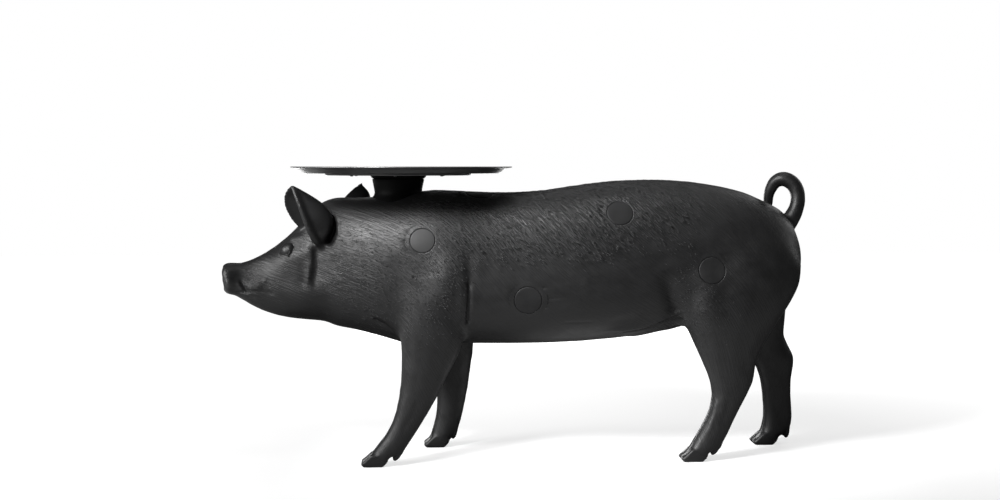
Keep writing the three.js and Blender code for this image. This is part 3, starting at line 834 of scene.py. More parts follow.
legForms = [
    # on one leg only: line as it lies, width, height, fade
    ([(-294, -143, 200), (-318, -141, 150), (-350, -138, 96), (-376, -136, 60)], 8, 1.8, (0.3, 0.3)),
    ([(-262, -142, 190), (-285, -142, 130), (-318, -141, 82)], 8, -1.8, (0.3, 0.3)),
    ([(-192, 152, 170), (-196, 154, 120), (-206, 153, 70)], 8, 1.8, (0.3, 0.3)),
    ([(-158, 152, 180), (-162, 153, 130), (-170, 152, 80)], 8, -1.8, (0.3, 0.3)),
    ([(512, -116, 168), (506, -122, 130), (494, -124, 90), (480, -122, 58)], 8, 2.4, (0.2, 0.3)),
    ([(548, -122, 180), (540, -126, 140), (520, -126, 90)], 8, -2.2, (0.3, 0.3)),
    ([(580, -128, 300), (585, -130, 262), (584, -128, 226)], 11, -3.4, (0.3, 0.3)),
    ([(722, 138, 180), (720, 139, 130), (716, 138, 80)], 8, -2.0, (0.3, 0.3)),
    ([(735, 146, 305), (742, 145, 270), (745, 142, 235)], 11, -3.2, (0.3, 0.3)),
]


def applyForm(mesh, frameName, line, width, height, taper, shift):
    points = readVectors(mesh)
    line = np.asarray(line, float) * mm
    if frameName != "own":
        points = folded(points, frameName, shift)
        line = folded(line, frameName)
    weight = nearLine(points, line, width * mm, taper)
    picked = weight > 1e-3
    moved = readVectors(mesh)
    way = readVectors(mesh, "normal")[picked]
    if frameName in ("left", "right"):
        way = np.array([0.0, math.copysign(1, line[0, 1]), 0.0])
    moved[picked] += way * (weight[picked] * height * mm)[:, None]
    writePoints(mesh, moved)


# the head's own details, in the head's frame with both sides laid over each other

eyeValues = {
    "centre": (-608.5, 56, 557), "outward": (-0.42, 0.83, 0.36), "along": (1.0, 0.0, 0.25),
    "radius": 26.0, "proud": 2.4, "halfLength": 12.5, "halfHeight": 16.0, "corner": 1.15,
    "lid": 1.0, "lidAt": (1.1, 0.22), "crease": 3.6, "creaseAt": (1.42, 0.16), "creaseSpan": (-0.9, 0.5),
    "opening": (0.86, 1.0), "socket": 6.0, "ballShare": 0.8, "nearby": 45, "behind": -14,
    "cornea": 0.02, "corneaSpan": (0.80, 0.93), "start": 60,
}
snoutValues = {
    "face": -779.5, "level": 484, "nostril": (15.5, 489), "nostrilSize": (6.5, 9.5), "nostrilDepth": 15,
    "faceDepth": (9, 18), "slant": 0.18, "hollow": (0.35, 1.1), "lip": 1.2, "lipAt": (1.45, 0.3),
    "rim": 2.0, "rimSize": (33, 29), "rimWidth": 0.18, "philtrum": 1.6, "philtrumWidth": 2.6,
    "grow": 0.1, "growFrom": (-771, -722),
}
toeValues = {
    # width of the cleft, the heights over which it ends, how far it goes in front, behind and below, and
    # where along the foot it does, from the toe's tip
    "cleft": 3.2, "top": (46, 74), "frontDepth": 9, "backDepth": 7, "underDepth": 7, "front": (30, 52),
    "back": (44, 60), "backEnd": (100, 112), "foot": (-10, 112), "halfWidth": 45, "height": 80, "sole": 8,
}


def eyeAxes():
    outward = Vector(eyeValues["outward"]).normalized()
    along = Vector(eyeValues["along"])
    along = (along - outward * along.dot(outward)).normalized()
    above = along.cross(outward)
    if above.z < 0:
        above.negate()
    return outward, along, above


def eyeOutward(side):
    outward = eyeAxes()[0]
    turned = fromHead(np.array([[0, 0, 0], [outward.x, side * outward.y, outward.z]]))
    return Vector(turned[1] - turned[0])


def placeEyes(skin):
    # the eyeball sits a little proud of the cheek where its axis leaves the skin
    tree = treeOf(skin)
    outward = eyeAxes()[0]
    middles = {}
    for name, side in sides:
        x, y, z = eyeValues["centre"]
        start = np.array([[x * mm, side * y * mm, z * mm]])
        way = np.array([[outward.x, side * outward.y, outward.z]])
        origin = Vector(fromHead(start + way * eyeValues["start"] * mm)[0])
        inward = (Vector(fromHead(start)[0]) - origin).normalized()
        deep = (eyeValues["radius"] - eyeValues["proud"]) * mm
        middles[name] = tree.ray_cast(origin, inward)[0] + inward * deep
    return middles


def sculptEyes(skin, middles):
    outward, along, above = (np.array(axis) for axis in eyeAxes())
    points = readVectors(skin.data)
    for name, side in sides:
        local = toHead(points) - toHead(np.array([middles[name]]))
        local[:, 1] *= side
        u, v, w = (local @ axis / mm for axis in (along, above, outward))
        near = (np.hypot(u, v) < eyeValues["nearby"]) & (w > eyeValues["behind"])
        u, v, w = u[near], v[near], w[near]
        # the opening is an almond with pointed corners
        power = eyeValues["corner"]
        rho = np.abs(u / eyeValues["halfLength"]) ** power + np.abs(v / eyeValues["halfHeight"]) ** power
        rho = rho ** (1 / power)
        reach = np.minimum(np.hypot(u, v), eyeValues["ballShare"] * eyeValues["radius"])
        ball = np.sqrt(eyeValues["radius"] ** 2 - reach ** 2)
        # the lids stand round it as a low rim, higher than the ball's own edge
        target = w + eyeValues["lid"] * bell(rho, *eyeValues["lidAt"])
        # the crease round the eye is deep behind it and dies away in front
        depth = eyeValues["crease"] * ease(u / np.maximum(np.hypot(u, v), 1), *eyeValues["creaseSpan"])
        target -= depth * bell(rho, *eyeValues["creaseAt"])
        inside = 1 - ease(rho, *eyeValues["opening"])
        target = target * (1 - inside) + (ball - eyeValues["socket"]) * inside
        shift = (target - w) * mm
        step = outward.copy()
        step[1] *= side
        c, s = math.cos(headYaw), math.sin(headYaw)
        step = np.array([c * step[0] - s * step[1], c * step[1] + s * step[0], step[2]])
        points[near] += shift[:, None] * step
    writePoints(skin.data, points)


def sculptSnout(skin):
    points = readVectors(skin.data)
    head = folded(points, "head") / mm
    x, y, z = head.T
    face = 1 - ease(x, *(snoutValues["face"] + depth for depth in snoutValues["faceDepth"]))
    (aside, high), (wide, tall) = snoutValues["nostril"], snoutValues["nostrilSize"]
    rho = np.hypot((y - aside - snoutValues["slant"] * (z - high)) / wide, (z - high) / tall)
    inward = snoutValues["nostrilDepth"] * (1 - ease(rho, *snoutValues["hollow"]))
    inward -= snoutValues["lip"] * bell(rho, *snoutValues["lipAt"])
    ring = np.hypot(y / snoutValues["rimSize"][0], (z - snoutValues["level"]) / snoutValues["rimSize"][1])
    inward -= snoutValues["rim"] * bell(ring, 1, snoutValues["rimWidth"])
    below = z < snoutValues["level"] + 4
    inward += snoutValues["philtrum"] * bell(y, 0, snoutValues["philtrumWidth"]) * below
    step = (inward * face * mm)[:, None] * np.array([math.cos(headYaw), math.sin(headYaw), 0])
    grown = toHead(points)
    grow = snoutValues["grow"] * (1 - ease(x, *snoutValues["growFrom"]))
    grown[:, 1] *= 1 + grow
    grown[:, 2] += (grown[:, 2] - snoutValues["level"] * mm) * grow
    writePoints(skin.data, fromHead(grown) + step)


def sculptToes(skin):
    # the cleft between the two claws of each foot, open in front, behind and below
    points = readVectors(skin.data)
    for foot in feet:
        x, y, z = (points / mm - np.array([*footValues[foot]["toe"], 0])).T
        cleft = bell(y, 0, toeValues["cleft"])
        near = cleft * (1 - ease(z, *toeValues["top"]))
        front = 1 - ease(x, *toeValues["front"])
        back = ease(x, *toeValues["back"]) * (1 - ease(x, *toeValues["backEnd"]))
        start, end = toeValues["foot"]
        inFoot = (x > start) & (x < end) & (np.abs(y) < toeValues["halfWidth"]) & (z < toeValues["height"])
        push = np.where(inFoot, near * (toeValues["frontDepth"] * front - toeValues["backDepth"] * back), 0)
        points[:, 0] += push * mm
        under = np.where(inFoot & (z < toeValues["sole"]), cleft * toeValues["underDepth"], 0)
        points[:, 2] += under * mm
    writePoints(skin.data, points)


def refine(skin, places):
    # finer mesh within a radius of each place
    shape = bmesh.new()
    shape.from_mesh(skin.data)
    near = {vert for vert in shape.verts
            if any((vert.co - place).length < radius * mm for place, radius in places)}
    edges = [edge for edge in shape.edges if near.issuperset(edge.verts)]
    bmesh.ops.subdivide_edges(shape, edges=edges, cuts=1, use_grid_fill=True, smooth=0.6)
    shape.to_mesh(skin.data)
    shape.free()


def thinned(skin, triangles):
    # fewer triangles where the form is plain
    skin.data.calc_loop_triangles()
    share = triangles / len(skin.data.loop_triangles)
    modify(skin, "DECIMATE", ratio=min(1.0, share), use_collapse_triangulate=True)
    settle(skin)


def makeSkin():
    core = coreForm()
    print("core form", len(core.data.polygons))
    hooves = mergedCopy("hooves", nodesNamed("hoof_"), skinValues["hoofOverlap"])
    smooth = [makeTail()] + makeEar("left") + makeEar("right")
    bare = []
    for thing in smooth:
        corners = readVectors(thing.data)
        bare.append((treeOf(thing), corners.min(0), corners.max(0)))
    skin = joined("skin", [core, hooves, footForms()] + smooth)
    modify(skin, "REMESH", mode="VOXEL", voxel_size=skinValues["fineVoxel"] * mm)
    settle(skin)
    print("skin", len(skin.data.polygons), "shells", largestShell(skin))
    relax(skin.data, skinValues["finePasses"])
    away = np.linalg.norm(readVectors(skin.data) - np.array(skinValues["tailRoot"]) * mm, axis=1) / mm
    relax(skin.data, skinValues["tailPasses"], 1 - ease(away, *skinValues["tailReach"]))
    for side in ("left", "right"):
        for name, last, passes, width in earValues["smoothing"]:
            line = np.array(earValues[side][name][:last]) * mm
            relax(skin.data, passes, nearLine(readVectors(skin.data), line, width * mm, (0, 0)))
    for form in broadForms:
        applyForm(skin.data, *form)
    middles = placeEyes(skin)
    for eyeRadius, places, radius in finerPlaces:
        spots = np.array([(x, side * y, z) for x, y, z in places for _, side in sides]) * mm
        spots = [(Vector(spot), radius) for spot in fromHead(spots)]
        refine(skin, [(middle, eyeRadius) for middle in middles.values()] + spots)
    for form in fineForms:
        applyForm(skin.data, *form)
    for form in legForms:
        applyForm(skin.data, "own", *form, 0)
    sculptEyes(skin, middles)
    sculptSnout(skin)
    sculptToes(skin)
    relax(skin.data, skinValues["lastPasses"])
    thinned(skin, skinValues["triangles"])
    points = readVectors(skin.data)
    points[:, 2] = np.maximum(points[:, 2], hornValues["soleRise"] * mm)
    writePoints(skin.data, points)
    print("sculpted", len(skin.data.polygons))
    return skin, middles, bare


# eyes

def makeEye(name, side, middle):
    shape = bmesh.new()
    bmesh.ops.create_uvsphere(shape, u_segments=48, v_segments=32, radius=eyeValues["radius"] * mm)
    outward = eyeOutward(side)
    for vert in shape.verts:
        # the clear front stands a little proud of the ball
        lean = vert.co.normalized().z
        vert.co *= 1 + eyeValues["cornea"] * float(ease(lean, *eyeValues["corneaSpan"]))
    bmesh.ops.transform(shape, matrix=turnedTo(outward, middle), verts=shape.verts)
    eye = fromBmesh(name, shape)
    eye.data.shade_smooth()
    finishPiece(eye, eyeMaterial, "eye", name)


# horn: each claw is a thin shell over the skin's own toe, cut along the coronet

hornValues = {
    "front": 25, "top": 33, "slope": 0.55, "proud": 0.6, "wall": 2.2, "seam": 0.7, "soleRise": 0.9,
    # the part of the skin that a foot is cut from: below, to each side and along, from the toe's tip
    "under": 70, "aside": 50, "reach": (-20, 78), "lowest": 0.05, "sharp": 50,
}


def clawsOf(kind, foot):
    # the CAD name and the side of each of a foot's two claws
    place = "".join("_" + letter.lower() if letter.isupper() else letter for letter in foot)
    outward = math.copysign(1, footValues[foot]["toe"][1])
    return (f"{kind}_{place}_outer", outward), (f"{kind}_{place}_inner", -outward)


def cutAway(shape, place, normal):
    # drops what lies beyond a plane
    everything = shape.verts[:] + shape.edges[:] + shape.faces[:]
    bmesh.ops.bisect_plane(shape, geom=everything, plane_co=place, plane_no=normal, clear_outer=True)


def coronetPlane(foot):
    toeX, toeY = footValues[foot]["toe"]
    place = Vector((toeX + hornValues["front"], toeY, hornValues["top"])) * mm
    return place, Vector((hornValues["slope"], 0, 1)).normalized()


def makeHoof(skin, foot):
    toeX, toeY = footValues[foot]["toe"]
    start, end = hornValues["reach"]
    whole = bmesh.new()
    whole.from_mesh(skin.data)
    far = [v for v in whole.verts if v.co.z > hornValues["under"] * mm
           or abs(v.co.y / mm - toeY) > hornValues["aside"] or not start < v.co.x / mm - toeX < end]
    bmesh.ops.delete(whole, geom=far, context="VERTS")
    for name, side in clawsOf("hoof", foot):
        claw = whole.copy()
        cutAway(claw, *coronetPlane(foot))
        cutAway(claw, Vector((0, toeY + side * hornValues["seam"], 0)) * mm, (0, -side, 0))
        claw.normal_update()
        for vert in claw.verts:
            vert.co += vert.normal * hornValues["proud"] * mm
            vert.co.z = max(vert.co.z, hornValues["lowest"] * mm)
        thing = fromBmesh(name, claw)
        modify(thing, "SOLIDIFY", thickness=hornValues["wall"] * mm, offset=-1)
        settle(thing)
        thing.data.shade_smooth()
        thing.data.set_sharp_from_angle(angle=math.radians(hornValues["sharp"]))
        finishPiece(thing, hornMaterial, "horn", name)
    whole.free()


def makeDewclaw(foot):
    for name, side in clawsOf("dewclaw", foot):
        shape = bmesh.new()
        bmesh.ops.create_uvsphere(shape, u_segments=32, v_segments=24, radius=1,
                                  matrix=spurMatrix(foot, side, 1.0, 0))
        thing = fromBmesh(name, shape)
        thing.data.shade_smooth()
        finishPiece(thing, hornMaterial, "horn", name)


# round discs, laid on the skin with a rounded edge

discValues = {
    # share of the radius and height over the skin in mm: a collar of hide, a groove, then the disc
    "rings": (
        (1.25, -0.8), (1.2, 0.02), (1.12, 0.05), (1.04, 0.06), (0.96, 0.06), (0.905, 0.05), (0.9, -0.2),
        (0.897, -1.4), (0.876, -1.4), (0.872, 0.2), (0.862, 0.7), (0.85, 0.95), (0.83, 1.1), (0.8, 1.15),
        (0.7, 1.15), (0.55, 1.15), (0.4, 1.15), (0.2, 1.15)),
    "segments": 96, "groove": 0.898, "bed": 1.0, "sink": 5, "calm": 0.93, "start": 60, "depth": 50,
}


def discFrame(node):
    points = readVectors(node.data)
    centre = points.mean(0)
    across = np.linalg.svd(points - centre, full_matrices=False)[2]
    normal = across[2]
    if normal @ (centre - np.array([centre[0], 0, 0.5])) < 0:
        normal = -normal
    reaches = [np.outer((points - centre) @ axis, axis) for axis in across[:2]]
    radius = max(np.linalg.norm(reach, axis=1).max() for reach in reaches)
    return Vector(centre), Vector(normal), radius


def roundDisc(name, points):
    # the disc's frame, how far each place is from its axis in metres, and which of them are at its depth
    centre, normal, radius = discFrame(cadNodes[name])
    offset = points - np.array(centre)
    deep = offset @ np.array(normal)
    reach = np.linalg.norm(offset - deep[:, None] * np.array(normal), axis=1)
    return normal, radius, reach, np.abs(deep) < discValues["depth"] * mm


def makeDisc(name, tree):
    centre, normal, radius = discFrame(cadNodes[name])
    shape = bmesh.new()
    bmesh.ops.create_circle(shape, cap_ends=True, segments=discValues["segments"],
                             radius=discValues["rings"][0][0])
    middle = shape.faces[:]
    shares = [share for share, height in discValues["rings"]]
    for before, after in zip(shares[:-1], shares[1:]):
        bmesh.ops.inset_region(shape, faces=middle, thickness=before - after, use_boundary=True,
                               use_even_offset=True)
    bmesh.ops.poke(shape, faces=middle)
    shape.verts.index_update()
    turn = Vector((0, 0, 1)).rotation_difference(normal)
    heights = [height for share, height in discValues["rings"]]
    shading = {}
    for vert in shape.verts:
        share = vert.co.length
        height = np.interp(share, shares[::-1], heights[::-1])
        start = centre + turn @ (vert.co * radius) + normal * discValues["start"] * mm
        hit, _, face, _ = tree.ray_cast(start, -normal)
        vert.co = hit + normal * (height * mm)
        if share > discValues["calm"]:
            corners = [skin.data.vertices[i] for i in skin.data.polygons[face].vertices]
            weights = poly_3d_calc([corner.co for corner in corners], hit)
            parts = [corner.normal * weight for corner, weight in zip(corners, weights)]
            shading[vert.index] = sum(parts, Vector())
    bmesh.ops.recalc_face_normals(shape, faces=shape.faces)
    for face in shape.faces:
        away = face.calc_center_median() - centre
        face.material_index = int((away - normal * away.dot(normal)).length > discValues["groove"] * radius)
    disc = fromBmesh(name, shape)
    disc.data.shade_smooth()
    # the collar is shaded as the skin it lies on
    normals = readVectors(disc.data, "normal")
    for index, shade in shading.items():
        normals[index] = shade.normalized()
    disc.data.normals_split_custom_set_from_vertices(normals)
    finishPiece(disc, smoothMaterial, "smooth_resin", name)
    disc.data.materials.append(hideMaterial)
    writeHair(disc.data, np.ones(len(disc.data.vertices)))


def sinkUnderDiscs(skin):
    # the skin drops away under each disc, which carries its own collar of hide
    points = readVectors(skin.data)
    for name in discNames:
        normal, radius, reach, level = roundDisc(name, points)
        under = level & (reach < discValues["bed"] * radius)
        points[under] -= np.array(normal) * discValues["sink"] * mm
    writePoints(skin.data, points)


# tray, under-plate, flange, pedestal and screws

def makeTurned(name, material):
    values = turnedValues[name]
    shape = bmesh.new()
    verts = [shape.verts.new((r * mm, 0, z * mm)) for r, z in values["profile"]]
    edges = [shape.edges.new(pair) for pair in zip(verts[:-1], verts[1:])]
    bmesh.ops.spin(shape, geom=verts + edges, cent=(0, 0, 0), axis=(0, 0, 1), angle=2 * math.pi,
                   steps=turnedValues["steps"], use_merge=True)
    bmesh.ops.remove_doubles(shape, verts=shape.verts, dist=0.01 * mm)
    bmesh.ops.translate(shape, verts=shape.verts, vec=(values["x"] * mm, 0, 0))
    bmesh.ops.recalc_face_normals(shape, faces=shape.faces)
    thing = fromBmesh(name, shape)
    modify(thing, "BEVEL", width=values["bevel"] * mm, segments=3, limit_method="ANGLE",
           angle_limit=math.radians(turnedValues["bevelAngle"]), harden_normals=False)
    settle(thing)
    thing.data.shade_smooth()
    thing.data.set_sharp_from_angle(angle=math.radians(turnedValues["sharp"]))
    finishPiece(thing, material, values["slot"], name)


screwValues = {
    "radius": 4.5, "dome": 2.6, "socketDepth": 1.5, "socketSize": 0.44, "count": 6, "underHeight": 751.7,
    "sideScrews": 4, "sideAngle": -46, "sideRadius": 65.2, "sideHeight": 735.5, "sideSize": 3.4,
    "sideTilt": -0.15,
    # share of the radius and of the dome's height
    "rings": ((1.0, 0.0), (0.98, 0.45), (0.86, 0.8), (0.62, 1.0)),
}


def screwHead(shape, size, matrix):
    # a low domed head with a six-sided socket; its face looks along the matrix's own Z
    others = set(shape.verts)
    radius = size * mm
    tall = radius / screwValues["radius"]
    made = bmesh.ops.create_circle(shape, cap_ends=True, segments=24, radius=radius)
    face = made["verts"][0].link_faces[0]

    def inset(share):
        bmesh.ops.inset_region(shape, faces=[face], thickness=share * radius, use_boundary=True)

    rings = screwValues["rings"]
    for (share, _), (nextShare, height) in zip(rings[:-1], rings[1:]):
        inset(share - nextShare)
        for vert in face.verts:
            vert.co.z = height * screwValues["dome"] * tall
    inset(0.1)
    sixth = math.pi / 3
    for vert in face.verts:
        turn = math.atan2(vert.co.y, vert.co.x) % sixth - sixth / 2
        reach = screwValues["socketSize"] * radius * math.cos(sixth / 2) / math.cos(turn)
        vert.co.xy = vert.co.xy.normalized() * reach
    inset(0.01)
    for vert in face.verts:
        vert.co.z -= screwValues["socketDepth"] * tall
    bmesh.ops.transform(shape, matrix=matrix, verts=[v for v in shape.verts if v not in others])


def finishScrew(name, shape, *nodes):
    thing = fromBmesh(name, shape)
    thing.data.shade_smooth()
    thing.data.set_sharp_from_angle(angle=math.radians(turnedValues["sharp"]))
    finishPiece(thing, steelMaterial, "screw", *nodes)


def makeScrews():
    for i in range(screwValues["count"]):
        name = f"tray_screw_{i + 1}"
        low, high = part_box(name)
        middle = (Vector(low) + Vector(high)) / 2
        middle.z = screwValues["underHeight"] * mm
        shape = bmesh.new()
        screwHead(shape, screwValues["radius"], Matrix.Translation(middle) @ Matrix.Rotation(math.pi, 4, "X"))
        finishScrew(name, shape, name)
    shape = bmesh.new()
    for i in range(screwValues["sideScrews"]):
        angle = math.radians(screwValues["sideAngle"] + 360 / screwValues["sideScrews"] * i)
        level = Vector((math.cos(angle), math.sin(angle), 0))
        place = Vector((turnedValues["pedestal"]["x"], 0, screwValues["sideHeight"])) * mm
        place += level * screwValues["sideRadius"] * mm
        tilted = level + Vector((0, 0, screwValues["sideTilt"]))
        screwHead(shape, screwValues["sideSize"], turnedTo(tilted.normalized(), place))
    finishScrew("pedestalScrews", shape)


# the lie of the hair: place in the side view, angle down from +X in degrees, length and width of a tuft
# in mm, and how much the hair stands out from the surface

lieRows = [
    (-760, 470, 5, 6, 1.0, 0.15), (-690, 470, 20, 7, 1.1, 0.35), (-620, 500, 25, 8, 1.2, 0.35),
    (-560, 470, 25, 8, 1.2, 0.35), (-560, 600, 20, 8, 1.2, 0.3), (-450, 650, 5, 13, 1.6, 0.35),
    (-450, 540, 12, 14, 1.7, 0.8), (-430, 430, 25, 14, 1.7, 0.45), (-330, 620, 15, 16, 1.8, 0.45),
    (-300, 500, 25, 15, 1.8, 0.65), (-220, 480, 40, 14, 1.7, 0.6), (-260, 400, 55, 13, 1.7, 0.5),
    (-270, 280, 80, 10, 1.4, 0.35), (-320, 150, 75, 8, 1.2, 0.3), (-390, 50, 60, 6, 1.0, 0.15),
    (-200, 150, 88, 8, 1.2, 0.3), (-150, 650, 30, 28, 1.7, 0.7), (-60, 600, 48, 30, 1.8, 0.9),
    (-60, 480, 30, 18, 1.8, 0.3), (-60, 390, 8, 16, 1.7, 0.08), (150, 660, 54, 32, 1.8, 1.0),
    (150, 560, 45, 28, 1.7, 0.7), (150, 460, 22, 18, 1.8, 0.12), (150, 370, 5, 16, 1.7, 0.05),
    (350, 680, 56, 30, 1.8, 0.9), (350, 560, 45, 22, 1.9, 0.4), (340, 440, 25, 16, 1.7, 0.1),
    (520, 660, 45, 18, 1.8, 0.4), (540, 540, 50, 15, 1.7, 0.25), (540, 420, 65, 13, 1.6, 0.35),
    (435, 440, 20, 14, 1.6, 0.8),
    (520, 300, 75, 10, 1.4, 0.4), (520, 150, 70, 8, 1.2, 0.3), (680, 600, 65, 14, 1.6, 0.06),
    (700, 450, 60, 12, 1.5, 0.12), (690, 300, 85, 10, 1.4, 0.15), (700, 120, 88, 8, 1.2, 0.2),
]
coatValues = {
    "seed": 7, "reach": 70, "cover": 0.6, "coverFrom": (0.36, 0.78), "height": (0.07, 0.52), "sink": 0.02,
    "jitter": 4, "sway": 0.05, "spread": 0.3, "room": 1.2, "patch": 0.003,
    # the sheets over the side view: their step in mm and their span along and upwards in metres
    "grid": 10, "along": (-0.86, 0.86), "upwards": (-0.04, 0.80),
    # where the hair begins, in mm: past the snout, round the eye, above the claws, round the pedestal and
    # off the smooth ears and tail
    "snoutClear": (-742, -722), "eyeClear": (16, 26), "clawClear": (2, 26), "pedestalClear": (74, 84),
    "bareClear": (3, 12), "bareReach": 0.02, "topCalm": 0.7, "topFrom": (0.7, 0.95),
}


def lieAt(points):
    # angle, tuft length, tuft width and relief at each place
    rows = np.array(lieRows, float)
    flat = points[:, [0, 2]] / mm
    total = np.zeros(len(points)) + 1e-9
    values = np.zeros((len(points), 4))
    for row in rows:
        away = ((flat - row[:2]) ** 2).sum(1)
        weight = np.exp(-away / (2 * coatValues["reach"] ** 2))
        total += weight
        values += weight[:, None] * row[2:]
    return values / total[:, None]


def flowSheets():
    # two fields over the side view, one growing along the hair and one across it, each as near as it can be
    # to its wanted slope everywhere
    step = coatValues["grid"] * mm
    xs, zs = (np.arange(*coatValues[key], step) for key in ("along", "upwards"))
    across, up = np.meshgrid(xs, zs, indexing="ij")
    flat = np.column_stack([across.ravel(), 0 * across.ravel(), up.ravel()])
    angle = np.radians(lieAt(flat)[:, 0]).reshape(across.shape)
    alongX, alongZ = (np.diff(np.eye(len(places)), axis=0) for places in (xs, zs))
    valuesX, basisX = np.linalg.eigh(alongX.T @ alongX)
    valuesZ, basisZ = np.linalg.eigh(alongZ.T @ alongZ)
    stiff = valuesX[:, None] + valuesZ[None]
    stiff[0, 0] = 1
    sheets = []
    for slopeX, slopeZ in ((np.cos(angle), -np.sin(angle)), (np.sin(angle), np.cos(angle))):
        betweenX = (slopeX[1:] + slopeX[:-1]) / 2 * step
        betweenZ = (slopeZ[:, 1:] + slopeZ[:, :-1]) / 2 * step
        wanted = alongX.T @ betweenX + betweenZ @ alongZ
        sheets.append(basisX @ ((basisX.T @ wanted @ basisZ) / stiff) @ basisZ.T)
    return xs, zs, step, sheets


def flowAt(points):
    xs, zs, step, sheets = flow
    u = np.clip((points[:, 0] - xs[0]) / step, 0, len(xs) - 1.001)
    v = np.clip((points[:, 2] - zs[0]) / step, 0, len(zs) - 1.001)
    i, j = u.astype(int), v.astype(int)
    u, v = u - i, v - j
    found = []
    for sheet in sheets:
        low = sheet[i, j] * (1 - u) + sheet[i + 1, j] * u
        high = sheet[i, j + 1] * (1 - u) + sheet[i + 1, j + 1] * u
        found.append(low * (1 - v) + high * v)
    return np.column_stack([found[0], points[:, 1], found[1]])


def markHair(skin, bare, middles):
    # paints on the skin where the hair is and how it lies
    points = readVectors(skin.data)
    head = toHead(points) / mm
    amount = ease(head[:, 0], *coatValues["snoutClear"])
    for middle in middles.values():
        reach = np.linalg.norm(points - np.array(middle), axis=1) / mm
        amount *= ease(reach, *coatValues["eyeClear"])
    for foot in feet:
        place, normal = coronetPlane(foot)
        toeX = footValues[foot]["toe"][0] * mm
        above = (points - np.array(place)) @ np.array(normal) / mm
        away = np.abs(points - np.array([toeX, place.y, 0]))
        inFoot = np.all(away < np.array([0.115, 0.05, 0.1]), axis=1)
        amount *= np.where(inFoot, ease(above, *coatValues["clawClear"]), 1)
    pedestal = np.hypot(points[:, 0] - turnedValues["pedestal"]["x"] * mm, points[:, 1]) / mm
    amount *= np.where(points[:, 2] > 0.6, ease(pedestal, *coatValues["pedestalClear"]), 1)
    reach = coatValues["bareReach"]
    for tree, low, high in bare:
        near = np.all((points > low - reach) & (points < high + reach), axis=1)
        for i in np.where(near)[0]:
            found = tree.find_nearest(Vector(points[i]), reach)
            if found[0] is not None:
                amount[i] *= float(ease(found[3] / mm, *coatValues["bareClear"]))
    amount *= 1 - coatValues["topCalm"] * ease(readVectors(skin.data, "normal")[:, 2], *coatValues["topFrom"])
    writeHair(skin.data, amount)
    return amount


def writeHair(mesh, amount):
    points = readVectors(mesh)
    writeAttribute(mesh, "hair", "FLOAT", amount * lieAt(points)[:, 3])
    writeAttribute(mesh, "flow", "FLOAT_VECTOR", flowAt(points))


# tufts: low closed wedges that lie along the hair, many to a piece

tuftPoints = np.array([
    (-0.5, 0, -0.1), (-0.12, -0.5, -0.3), (-0.12, 0.5, -0.3), (-0.05, 0, 1.0), (0.5, 0, 0.15)])
tuftFaces = np.array([(0, 1, 3), (0, 3, 2), (4, 3, 1), (4, 2, 3), (0, 2, 1), (4, 1, 2)])


def regionOf(points):
    x, z = points[:, 0] / mm, points[:, 2] / mm
    fore, hind = (z < 385) & (x < -40), (z < 350) & (x > 380)
    return np.select([fore, hind, x < -528, x < -215, x > 400, z > 545], [
        "coatForelegs", "coatHindlegs", "coatHead", "coatNeck", "coatHam", "coatBack"], "coatBelly")


# first column of each pair of legs, and where the left and the right leg's middle is at its top and its foot
legMiddles = {
    "coatForelegs": (0, (-0.22, -0.385), (-0.19, -0.22)), "coatHindlegs": (2, (0.56, 0.47), (0.70, 0.71)),
}


def unwrapped(points, region):
    # the trunk is rolled out round its long axis, each leg round its own upright one
    x, y, z = points.T
    if region not in legMiddles:
        turn = np.arctan2(y, z - 0.5) / (2 * math.pi) + 0.5
        return np.column_stack([(x + 0.8) / 1.6, 0.02 + 0.58 * turn])
    first, *ends = legMiddles[region]
    right = y > 0
    climb = np.clip(z / 0.4, 0, 1)
    left, other = (foot + (top - foot) * climb for top, foot in ends)
    turn = np.arctan2(np.abs(y) - 0.12, x - np.where(right, other, left)) / (2 * math.pi) + 0.5
    return np.column_stack([0.01 + 0.25 * (right + first) + 0.22 * turn, 0.64 + 0.34 * climb])


